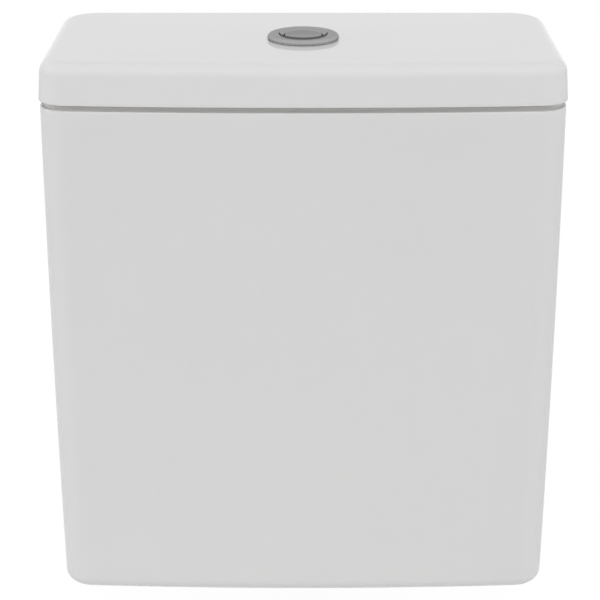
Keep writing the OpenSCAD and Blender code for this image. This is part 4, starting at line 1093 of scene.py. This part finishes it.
class CISTERN_OT_springs(Operator):
    """Makes the return springs under the buttons"""

    bl_idname = "cistern.springs"
    bl_label = "Springs"

    def execute(self, context):
        size = fittings()
        for node, joint in (("full_spring", "full_press"), ("half_spring", "half_press")):
            piece = make_piece(node, spring_shell(node, size))
            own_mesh(piece)
        return {"FINISHED"}


# Flush valve


class CISTERN_OT_flush_base(Operator):
    """Makes the flush valve's base with its threaded tail, washer and nut, and the foam ring"""

    bl_idname = "cistern.flush_base"
    bl_label = "Flush valve base"

    def execute(self, context):
        size = fittings()
        low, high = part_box("valve_base")
        flange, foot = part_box("base_washer")[1].z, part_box("valve_cage")[0].z
        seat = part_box("main_seal")[0].z - 0.1 * MM
        nut_low, nut_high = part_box("tail_nut")
        end, rim = nut_low.z - 2 * MM, size.outlet + 3 * MM
        floor, throat = ceramic().floor, size.outlet - 1 * MM
        corners = [
            (size.outlet, low.z), (size.spigot, low.z), (size.spigot, end), (size.tail, end),
            (size.tail, flange), (high.y, flange), (high.y, foot), (rim, foot), (rim, seat), (throat, seat),
            (throat, floor), (size.outlet, floor),
        ]
        pitch = size.tail_pitch
        cut = threaded(end, flange - 2 * MM, size.tail, pitch, 1.3 * MM)
        rows = end, flange, pitch / 8, size.tail - 0.01 * MM
        body = turned(corners, 0.5 * MM, segments=144, radius=cut, rows=rows)
        cage, sunk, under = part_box("valve_cage")[1].x, foot - 2 * MM, high.z - 4 * MM
        post, hook, half = cage + 0.3 * MM, cage - 2 * MM, 6 * MM
        rear = post + 4 * MM
        outline = rounded([
            (post, sunk), (rear, sunk), (rear, high.z - 1 * MM), (hook + 3 * MM, high.z),
            (hook, under + 1.5 * MM), (hook, under), (post, under),
        ], 0.6 * MM)
        clip = along_y(slab(outline, -half, half, edge=0.35 * MM))
        make_piece("valve_base", body, *[turned_about(clip, TURN * k / 3) for k in range(3)])
        ring_piece("base_washer", size.tail + 0.3 * MM, 0.6 * MM, segments=96)
        core, outer = nut_high.x - 3 * MM, nut_high.x
        corners = [
            (size.tail, nut_low.z), (outer, nut_low.z), (outer, nut_high.z - 2 * MM),
            (core, nut_high.z - 1.4 * MM), (core, nut_high.z), (size.tail, nut_high.z),
        ]
        grips = lobed(core, count=10, width=0.3)
        make_piece("tail_nut", turned(corners, 0.8 * MM, segments=200, radius=grips))
        edges = np.array([3, 3, 0.8, 0.8]) * MM
        foam = ring_piece("foam_ring", nut_high.x + 2 * MM, edges, segments=128)
        return {"FINISHED"}


def cage_opening(width, low, high):
    """A cutter across the cage: a rectangle with round corners carried along X."""
    half, reach = width / 2, 45 * MM
    corners = [(-half, low), (half, low), (half, high), (-half, high)]
    return along_x(slab(rounded(corners, 3 * MM), -reach, reach, edge=0.1 * MM))


class CISTERN_OT_flush_valve(Operator):
    """Makes the flush valve's cage, overflow tube, seal and float"""

    bl_idname = "cistern.flush_valve"
    bl_label = "Flush valve"

    def execute(self, context):
        size = fittings()
        low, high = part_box("valve_cage")
        outer, inner = size.cage, size.cage - size.cage_wall
        bore, roof, foot = size.stem + 0.3 * MM, high.z - 4 * MM, low.z + 3 * MM
        corners = [
            (inner, low.z), (high.x, low.z), (high.x, foot), (outer, foot), (outer, high.z), (bore, high.z),
            (bore, roof), (inner, roof),
        ]
        sill, tall = foot + 4 * MM, 62 * MM
        window = cage_opening(size.window, sill, sill + tall)
        slot = cage_opening(size.slot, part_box("flush_float")[0].z, high.z - 8 * MM)
        places = (window, 0), (window, TURN / 4), (slot, TURN / 8), (slot, -TURN / 8)
        cuts = [turned_about(opening, angle) for opening, angle in places]
        make_piece("valve_cage", combined(turned(corners, 0.7 * MM), removed=cuts))
        low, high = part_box("overflow_tube")
        inner, seal = size.stem - size.stem_wall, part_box("main_seal")[1].z
        corners = [
            (inner, low.z), (size.stem, low.z), (size.stem, seal), (high.x, seal), (high.x, seal + 3 * MM),
            (size.stem, seal + 3 * MM), (size.stem, high.z), (inner, high.z),
        ]
        make_piece("overflow_tube", turned(corners, 0.6 * MM))
        for node, edge in (("main_seal", 0.5), ("seal_retainer", 0.5), ("flush_float", 3)):
            ring_piece(node, size.stem, edge * MM, segments=96)
        return {"FINISHED"}


def pivot(node):
    """Place along Y and height of a rocker pin."""
    low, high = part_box(node)
    return (low.y + high.y) / 2, (low.z + high.z) / 2


def bracket_shell(size):
    """A ring with two upright cheeks: flat outlines in Y and Z with a window and two pin holes."""
    low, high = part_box("rocker_bracket")
    (front, level), (back, _) = pivot("full_rocker_pin"), pivot("half_rocker_pin")
    margin, rib, top = 7.5 * MM, 6 * MM, low.z + 8 * MM
    ring = high.y
    foot = math.sqrt(ring ** 2 - (size.cheek_side - 1.5 * MM) ** 2)
    waist = (top + level) / 2
    outline = rounded([
        (-foot, low.z), (foot, low.z), (foot, top), (back + margin, waist), (back + margin, high.z),
        (front - margin, high.z), (front - margin, waist), (-foot, top),
    ], 3 * MM)
    window = rounded([
        (rib - foot, top + rib), (foot - rib, top + rib), (back - margin, waist),
        (back - margin, level - margin), (front + margin, level - margin), (front + margin, waist),
    ], 3 * MM)
    half, through = 1.5 * MM, 5 * MM
    cuts = [moved(rod_between(size.pin, -through, through), y, level) for y in (front, back)]
    cuts.insert(0, slab(window, -through, through, 0.1 * MM))
    cheek = combined(slab(outline, -half, half, 0.5 * MM), removed=cuts)
    cheeks = [moved(along_x(cheek), side * size.cheek_side) for side in (-1, 1)]
    base = washer(size.bracket_bore, ring, low.z, top, 0.8 * MM, segments=96)
    return combined(base, joined=cheeks)


def rocker_shell(node, pin_node, size):
    """An arm in Y and Z with a round tip at each end, on a long hub with a bore along X."""
    low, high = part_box(node)
    y, z = pivot(pin_node)
    tip = size.rocker_tip
    ends = low.y + tip - y, high.y - tip - y
    thin, thick = 1.8 * MM, 3.2 * MM
    outline = rounded([
        (ends[0], -thin), (-thick, -thick), (thick, -thick), (ends[1], -thin), (ends[1], thin),
        (thick, thick), (-thick, thick), (ends[0], thin),
    ], 0.8 * MM)
    half, half_tip, edge = 4 * MM, 6 * MM, 0.6 * MM
    arm = along_x(slab(outline, -half, half, edge=0.45 * MM))
    tips = [along_x(peg(tip, -half_tip, half_tip, edge, (end, 0), 32)) for end in ends]
    hub = along_x(peg(size.rocker_hub, low.x, high.x, edge))
    bore = along_x(rod_between(size.pin + 0.05 * MM, 2 * low.x, 2 * high.x, 32))
    return moved(combined(arm, joined=[*tips, hub], removed=[bore]), 0, y, z)


def lifter_shell(node, bore, outer, size):
    """A ring with an arm, two legs and the bar that a rocker lifts, at the front or at the back."""
    low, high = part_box(node)
    front = -low.y > high.y
    top = low.z + 5 * MM
    side, leg, edge = size.bar_side, 4 * MM, 0.7 * MM
    end = low.y if front else high.y

    def part(x0, x1, reach, z0, z1):
        inner = end + reach if front else end - reach
        return bar(x0, x1, min(inner, end), max(inner, end), z0, z1, edge)

    parts = [
        part(-side, side, abs(end), low.z, top), part(-side, leg - side, leg, low.z, high.z),
        part(side - leg, side, leg, low.z, high.z), part(-side, side, 2 * leg, high.z - leg, high.z),
    ]
    hole = rod_between(bore, low.z - leg, top + leg, 96)
    return combined(peg(outer, low.z, top, edge, segments=96), joined=parts, removed=[hole])


class CISTERN_OT_lift(Operator):
    """Makes the bracket, rockers, pins, yoke and strap that lift the flush valve"""

    bl_idname = "cistern.lift"
    bl_label = "Lift gear"

    def execute(self, context):
        size = fittings()
        make_piece("rocker_bracket", bracket_shell(size))
        for name in ("full", "half"):
            node, pin = name + "_rocker", name + "_rocker_pin"
            make_piece(node, rocker_shell(node, pin, size))
            low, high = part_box(pin)
            make_piece(pin, along_x(peg(size.pin, low.x, high.x, 0.4 * MM, pivot(pin), 32)))
        for node, bore, wide in (("lift_yoke", size.bracket_bore, 6), ("lift_strap", size.stem, 7)):
            make_piece(node, lifter_shell(node, bore, bore + wide * MM, size))
        return {"FINISHED"}


# Fill valve


class CISTERN_OT_fill_shank(Operator):
    """Makes the fill valve's threaded shank, washer, nut, filter, riser and lock ring"""

    bl_idname = "cistern.fill_shank"
    bl_label = "Fill valve shank"

    def execute(self, context):
        size = fittings()
        axis = middle("lock_ring")
        low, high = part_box("fill_shank")
        flange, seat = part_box("shank_washer")[1].z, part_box("fill_riser")[0].z
        nut_low, nut_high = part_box("shank_nut")
        root, wide = size.inlet - 1 * MM, high.y - axis[1]
        groove, upper = nut_low.z - 2 * MM, flange + 4 * MM
        corners = [
            (size.water_way, low.z), (root, low.z), (size.inlet, low.z + 1 * MM), (size.inlet, groove),
            (root, groove), (root, nut_low.z), (size.inlet, nut_low.z), (size.inlet, flange), (wide, flange),
            (wide, upper), (size.shank, upper), (size.shank, high.z), (size.riser, high.z),
            (size.riser, seat), (size.water_way, seat),
        ]
        pitch = size.inlet_pitch
        cut = threaded(low.z + 1 * MM, flange - 1 * MM, size.inlet, pitch, 0.9 * MM)
        rows = low.z, flange, pitch / 8, size.inlet - 0.01 * MM
        make_piece("fill_shank", turned(corners, 0.4 * MM, axis, 96, cut, rows))
        ring_piece("shank_washer", size.inlet + 0.3 * MM, 0.6 * MM, axis)
        corner, collar = nut_high.x - axis[0], nut_high.z - 2 * MM
        corners = [
            (size.inlet, nut_low.z), (corner - 1.6 * MM, nut_low.z), (corner, nut_low.z + 0.9 * MM),
            (corner, collar), (corner, nut_high.z), (size.inlet, nut_high.z),
        ]
        flats = six_sided(size.inlet + 1.5 * MM, corner, collar - 0.05 * MM)
        make_piece("shank_nut", turned(corners, 0.2 * MM, axis, 120, flats), crease=25)
        low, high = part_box("fill_riser")
        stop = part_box("float_cup")[0].z
        inner, collar, under = size.riser - size.riser_wall, high.y - axis[1], stop - 4 * MM
        corners = [
            (inner, low.z), (size.riser, low.z), (size.riser, under), (collar, under), (collar, stop),
            (size.riser, stop), (size.riser, high.z), (inner, high.z),
        ]
        make_piece("fill_riser", turned(corners, 0.5 * MM, axis))
        grips = lobed(core=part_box("lock_ring")[1].x - axis[0] - 0.8 * MM, count=24, width=0.5)
        ring_piece("lock_ring", size.riser, 0.7 * MM, axis, 240, grips)
        dress_node("inlet_filter")
        return {"FINISHED"}


def cap_shells(size):
    """The fill valve's cap: a turned cover with grips, two ears with round tops for the lever's pin and the
    pilot that the lever's heel closes."""
    x, y = middle("lock_ring")
    low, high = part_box("head_cap")
    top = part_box("diaphragm")[1].z
    roof = top + 10 * MM
    outer, inner = high.y - y, size.head
    corners = [
        (0, roof - 4 * MM), (inner - 6 * MM, roof - 4 * MM), (inner - 6 * MM, top), (inner, top),
        (inner, low.z), (outer, low.z), (outer, roof), (0, roof),
    ]
    cover = spindle(corners, 0.8 * MM, (x, y), 192, lobed(core=outer - 0.7 * MM, count=32, width=0.5))
    half, sunk = 4 * MM, roof - 1 * MM
    outline = [(-half, sunk), (half, sunk), (half, high.z), (-half, high.z)]
    outline = rounded(outline, np.array([0.4, 0.4, 3.9, 3.9]) * MM)
    ears = [
        moved(along_y(slab(outline, at - 1.5 * MM, at + 1.5 * MM, 0.3 * MM)), x - size.lever_back, y)
        for at in (-8 * MM, 8 * MM)
    ]
    pilot = peg(2 * MM, sunk, roof + 5.6 * MM, 0.5 * MM, (x - size.lever_back - 10 * MM, y), 32)
    return [cover, *ears, pilot]


def lever_shell(size):
    """A flat lever with a wide heel, a hub and an eye, tilted about its pivot so that its end hangs down."""
    half, edge, hub = 2 * MM, 0.6 * MM, 4 * MM
    wide, narrow, through = 6 * MM, 4 * MM, 9 * MM
    heel = bar(-size.lever_short, hub, -wide, wide, -half, half, edge)
    arm = bar(0, size.lever_long, -narrow, narrow, -half, half, edge)
    eye = peg(5.4 * MM, -half, half, edge, (size.lever_long, 0))
    knuckle = along_y(peg(hub, -wide, wide, edge))
    bore = along_y(rod_between(size.pin + 0.05 * MM, -through, through, 32))
    hole = moved(rod_between(3.4 * MM, -through, through, 32), size.lever_long)
    points, faces = combined(arm, joined=[heel, eye, knuckle], removed=[bore, hole])
    tilt = math.asin(size.lever_drop / size.lever_long)
    c, s = math.cos(tilt), math.sin(tilt)
    points = points @ np.array([[c, 0, -s], [0, 1, 0], [s, 0, c]])
    low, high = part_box("lever_pin")
    return moved((points, faces), *middle("lever_pin"), (low.z + high.z) / 2)


class CISTERN_OT_fill_head(Operator):
    """Makes the fill valve's head, lever and float"""

    bl_idname = "cistern.fill_head"
    bl_label = "Fill valve head"

    def execute(self, context):
        size = fittings()
        axis = middle("lock_ring")
        low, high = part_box("valve_head")
        socket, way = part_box("fill_riser")[1].z, size.water_way
        wall, nozzle, well = size.head - 4 * MM, way + 2 * MM, socket + 5 * MM
        corners = [
            (size.riser, low.z), (size.head, low.z), (size.head, high.z), (wall, high.z), (wall, well),
            (nozzle, well), (nozzle, high.z), (way, high.z), (way, socket), (size.riser, socket),
        ]
        make_piece("valve_head", turned(corners, 0.5 * MM, axis))
        low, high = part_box("diaphragm")
        make_piece("diaphragm", peg(size.head, low.z, high.z, 0.4 * MM, axis, 96))
        make_piece("head_cap", *cap_shells(size))
        make_piece("fill_lever", lever_shell(size))
        low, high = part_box("lever_pin")
        place = (low.x + high.x) / 2, (low.z + high.z) / 2
        make_piece("lever_pin", along_y(peg(size.pin, -high.y, -low.y, 0.4 * MM, place, 32)))
        low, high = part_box("float_cup")
        sleeve, outer, shell = size.riser + 0.4 * MM, axis[0] - low.x, 2 * MM
        near, far, under = sleeve + shell, outer - shell, high.z - shell
        corners = [
            (sleeve, low.z), (near, low.z), (near, under), (far, under), (far, low.z), (outer, low.z),
            (outer, high.z), (sleeve, high.z),
        ]
        cup = turned(corners, np.array([0.6, 0.6, 1.5, 1.5, 0.6, 0.6, 2.5, 0.6]) * MM, axis)
        rod = middle("float_rod")
        lug_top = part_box("level_adjuster")[0].z
        root, half = axis[0] + outer - 1.5 * MM, 6 * MM
        lug = bar(root, high.x, axis[1] - half, axis[1] + half, lug_top - 5 * MM, lug_top, 1 * MM)
        make_piece("float_cup", cup, lug)
        low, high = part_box("float_rod")
        thin, collar = size.pin, high.x - rod[0]
        upper, thick = high.z - 11 * MM, 3 * MM
        corners = [(0, low.z), (thin, low.z)]
        for foot in (upper - 8.8 * MM, upper):
            corners += [(thin, foot), (collar, foot), (collar, foot + thick), (thin, foot + thick)]
        corners += [(thin, high.z), (0, high.z)]
        make_piece("float_rod", spindle(corners, 0.4 * MM, rod, 40))
        grips = lobed(core=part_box("level_adjuster")[1].x - rod[0] - 0.5 * MM, count=16, width=0.5)
        ring_piece("level_adjuster", thin, 0.5 * MM, rod, 128, grips)
        return {"FINISHED"}


# Coupling bolts


def bolt_shell(x, size):
    """A hexagon bolt turned about its axis: chamfered tip, thread, plain shank and a chamfered head."""
    low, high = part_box("coupling_bolts")
    seat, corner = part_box("inner_steel_washers")[1].z, high.x - abs(x)
    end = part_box("coupling_nuts")[0].z
    pitch, crest = size.bolt_pitch, size.bolt - 0.05 * MM
    chamfer, tip, flat = 1 * MM, 3 * MM, corner - 1.4 * MM
    profile = np.array([
        (0.8 * tip, low.z), (tip, low.z), (crest, low.z + chamfer), (crest, end), (size.bolt, end + 0.1 * MM),
        (size.bolt, seat), (corner, seat), (corner, high.z - chamfer), (flat, high.z), (0.3 * corner, high.z),
    ])
    profile = with_rows(profile, low.z, end, pitch / 8, crest - 0.01 * MM, closed=False)
    cut = both(threaded(low.z - pitch, end, crest, pitch, 0.7 * MM), six_sided(size.bolt + 1 * MM, corner))
    return around(profile, (x, 0), 72, ring=False, radius=cut)


class CISTERN_OT_coupling(Operator):
    """Makes the two coupling bolts with their washers and nuts"""

    bl_idname = "cistern.coupling"
    bl_label = "Coupling bolts"

    def execute(self, context):
        size = fittings()
        places = bolt_places()
        make_piece("coupling_bolts", *[bolt_shell(x, size) for x in places], crease=25)
        for node, edge in (("inner_rubber_washers", 0.8), ("inner_steel_washers", 0.3),
                           ("outer_rubber_washers", 0.8), ("outer_steel_washers", 0.3)):
            low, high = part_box(node)
            shells = [washer(size.bolt, high.y, low.z, high.z, edge * MM, (x, 0)) for x in places]
            make_piece(node, *shells)
        low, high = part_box("coupling_nuts")
        corner = high.x - max(places)
        break_r, break_z = corner - 1.2 * MM, 0.7 * MM
        corners = [
            (size.bolt, low.z), (break_r, low.z), (corner, low.z + break_z), (corner, high.z - break_z),
            (break_r, high.z), (size.bolt, high.z),
        ]
        flats = six_sided(size.bolt + 1 * MM, corner)
        nuts = [turned(corners, 0.15 * MM, (x, 0), 120, flats) for x in places]
        make_piece("coupling_nuts", *nuts, crease=25)
        return {"FINISHED"}


# Stage


def seen_directly(tree):
    """The Light Path node and a value of 1 for camera, glossy and transmission rays and 0 for the rest."""
    path = add_node(tree, "ShaderNodeLightPath")
    total = path.outputs["Is Camera Ray"]
    for label in ("Is Glossy Ray", "Is Transmission Ray"):
        either = add_node(tree, "ShaderNodeMath", operation="MAXIMUM")
        tree.links.new(total, either.inputs[0])
        tree.links.new(path.outputs[label], either.inputs[1])
        total = either.outputs[0]
    return path, total


def between_values(tree, factor, low, high):
    """A value of low where factor is 0 and of high where it is 1."""
    value = add_node(tree, "ShaderNodeMath", operation="MULTIPLY_ADD")
    value.inputs[1].default_value = high - low
    value.inputs[2].default_value = low
    tree.links.new(factor, value.inputs[0])
    return value.outputs[0]


def surround_world(settings):
    """A world that is white where it is seen or mirrored and lights with the ambient strength."""
    world = bpy.data.worlds.new("surround")
    world.use_nodes = True
    tree = world.node_tree
    sky = tree.nodes["Background"]
    sky.inputs["Color"].default_value = (1, 1, 1, 1)
    seen = seen_directly(tree)[1]
    tree.links.new(between_values(tree, seen, settings.ambient, 1.0), sky.inputs["Strength"])
    return world


def floor_material(settings):
    """A pale floor, white to the camera with a share of the object's shadow, matt to the rays that it
    lights, and not to be seen from below."""
    material = bpy.data.materials.new("floor")
    material.use_nodes = True
    tree = material.node_tree
    tree.nodes.clear()
    link = tree.links.new
    path, seen = seen_directly(tree)
    glow = add_node(tree, "ShaderNodeEmission", Color=(1, 1, 1, 1))
    strength = between_values(tree, path.outputs["Is Camera Ray"], settings.sheen, settings.white)
    link(strength, glow.inputs["Strength"])
    grain = add_node(tree, "ShaderNodeTexNoise", Scale=3.0)
    place = add_node(tree, "ShaderNodeTexCoord")
    link(place.outputs["Object"], grain.inputs["Vector"])
    tone = add_node(tree, "ShaderNodeMix", data_type="RGBA")
    tone.inputs[6].default_value = (0.94, 0.94, 0.94, 1)
    tone.inputs[7].default_value = (0.97, 0.97, 0.97, 1)
    link(grain.outputs["Fac"], tone.inputs["Factor"])
    matt = add_node(tree, "ShaderNodeBsdfDiffuse")
    link(tone.outputs[2], matt.inputs["Color"])
    mix = add_node(tree, "ShaderNodeMixShader")
    link(between_values(tree, seen, 1.0, settings.shadow), mix.inputs["Fac"])
    link(glow.outputs[0], mix.inputs[1])
    link(matt.outputs[0], mix.inputs[2])
    clear = add_node(tree, "ShaderNodeBsdfTransparent")
    side = add_node(tree, "ShaderNodeNewGeometry")
    either = add_node(tree, "ShaderNodeMixShader")
    link(side.outputs["Backfacing"], either.inputs["Fac"])
    link(mix.outputs[0], either.inputs[1])
    link(clear.outputs[0], either.inputs[2])
    out = add_node(tree, "ShaderNodeOutputMaterial")
    link(either.outputs[0], out.inputs["Surface"])
    return material


def area_lamp(name, place, wide, deep, power):
    """A soft rectangular lamp that faces the tank. Glossy surfaces mirror the white surround instead."""
    aim = (0, 0, 0.2)
    data = bpy.data.lights.new(name, "AREA")
    data.shape = "RECTANGLE"
    data.size = wide
    data.size_y = deep
    data.energy = power
    lamp = bpy.data.objects.new(name, data)
    lamp.visible_glossy = False
    lamp.location = place
    lamp.rotation_euler = (Vector(aim) - Vector(place)).to_track_quat("-Z", "Y").to_euler()
    bpy.context.scene.collection.objects.link(lamp)
    return lamp


class CISTERN_OT_stage(Operator):
    """Sets up the floor, the soft light, the white surround and the camera"""

    bl_idname = "cistern.stage"
    bl_label = "Stage"

    def execute(self, context):
        scene = context.scene
        settings = scene.cistern_stage
        scene.world = surround_world(settings)
        mesh = bpy.data.meshes.new("floor")
        reach, level = 2.0, CAD_BOX[0][2] - 0.5 * MM
        corners = [(x * reach, y * reach, level) for x, y in ((-1, -1), (1, -1), (1, 1), (-1, 1))]
        mesh.from_pydata(corners, [], [(0, 1, 2, 3)])
        floor = bpy.data.objects.new("floor", mesh)
        floor.data.materials.append(floor_material(settings))
        scene.collection.objects.link(floor)
        key = area_lamp("key", (0, -3.0, 3.9), 5.0, 3.4, settings.key)
        top = area_lamp("top", (0, -1.7, 4.4), 5.0, 3.4, settings.top)
        rear = area_lamp("rear", (0, 3.4, 0.35), 2.4, 1.2, settings.rear)
        left = area_lamp("left", (-2.4, 0.2, 0.5), 1.4, 1.4, settings.left)
        right = area_lamp("right", (2.4, 0.2, 0.5), 1.4, 1.4, settings.right)
        data = bpy.data.cameras.new("camera")
        data.lens = settings.lens
        data.sensor_width = 36
        data.shift_x = settings.camera_shift
        camera = bpy.data.objects.new("camera", data)
        camera.location = (0, -settings.camera_back, settings.camera_height)
        camera.rotation_euler = (math.pi / 2 - settings.camera_pitch, 0, 0)
        scene.collection.objects.link(camera)
        scene.camera = camera
        scene.view_settings.view_transform = "Standard"
        return {"FINISHED"}


# Registration

STEPS = (
    CISTERN_OT_tank, CISTERN_OT_lid, CISTERN_OT_surround, CISTERN_OT_buttons, CISTERN_OT_springs,
    CISTERN_OT_flush_base, CISTERN_OT_flush_valve, CISTERN_OT_lift, CISTERN_OT_fill_shank,
    CISTERN_OT_fill_head, CISTERN_OT_coupling, CISTERN_OT_stage,
)


class CISTERN_PT_sidebar(Panel):
    """Lists the steps that build the cistern"""

    bl_idname = "CISTERN_PT_sidebar"
    bl_label = "Toilet Cistern"
    bl_space_type = "VIEW_3D"
    bl_region_type = "UI"
    bl_category = "Cistern"

    def draw(self, context):
        for step in STEPS:
            self.layout.operator(step.bl_idname)


GROUPS = {
    "cistern_ceramic": CeramicSizes,
    "cistern_fittings": FittingSizes,
    "cistern_stage": StageSettings,
    "cistern_finishes": Finishes,
}


def register():
    """Adds the settings, the steps and the panel."""
    for name, group in GROUPS.items():
        bpy.utils.register_class(group)
        setattr(bpy.types.Scene, name, PointerProperty(type=group))
    for step in (*STEPS, CISTERN_PT_sidebar):
        bpy.utils.register_class(step)


def unregister():
    """Takes the panel, the steps and the settings out again."""
    for step in (CISTERN_PT_sidebar, *reversed(STEPS)):
        bpy.utils.unregister_class(step)
    for name, group in reversed(GROUPS.items()):
        delattr(bpy.types.Scene, name)
        bpy.utils.unregister_class(group)


def main():
    """Builds the cistern step by step."""
    register()
    bpy.ops.cistern.tank()
    bpy.ops.cistern.lid()
    bpy.ops.cistern.surround()
    bpy.ops.cistern.buttons()
    bpy.ops.cistern.springs()
    bpy.ops.cistern.flush_base()
    bpy.ops.cistern.flush_valve()
    bpy.ops.cistern.lift()
    bpy.ops.cistern.fill_shank()
    bpy.ops.cistern.fill_head()
    bpy.ops.cistern.coupling()
    bpy.ops.cistern.stage()
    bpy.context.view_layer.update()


if __name__ == "__main__":
    main()
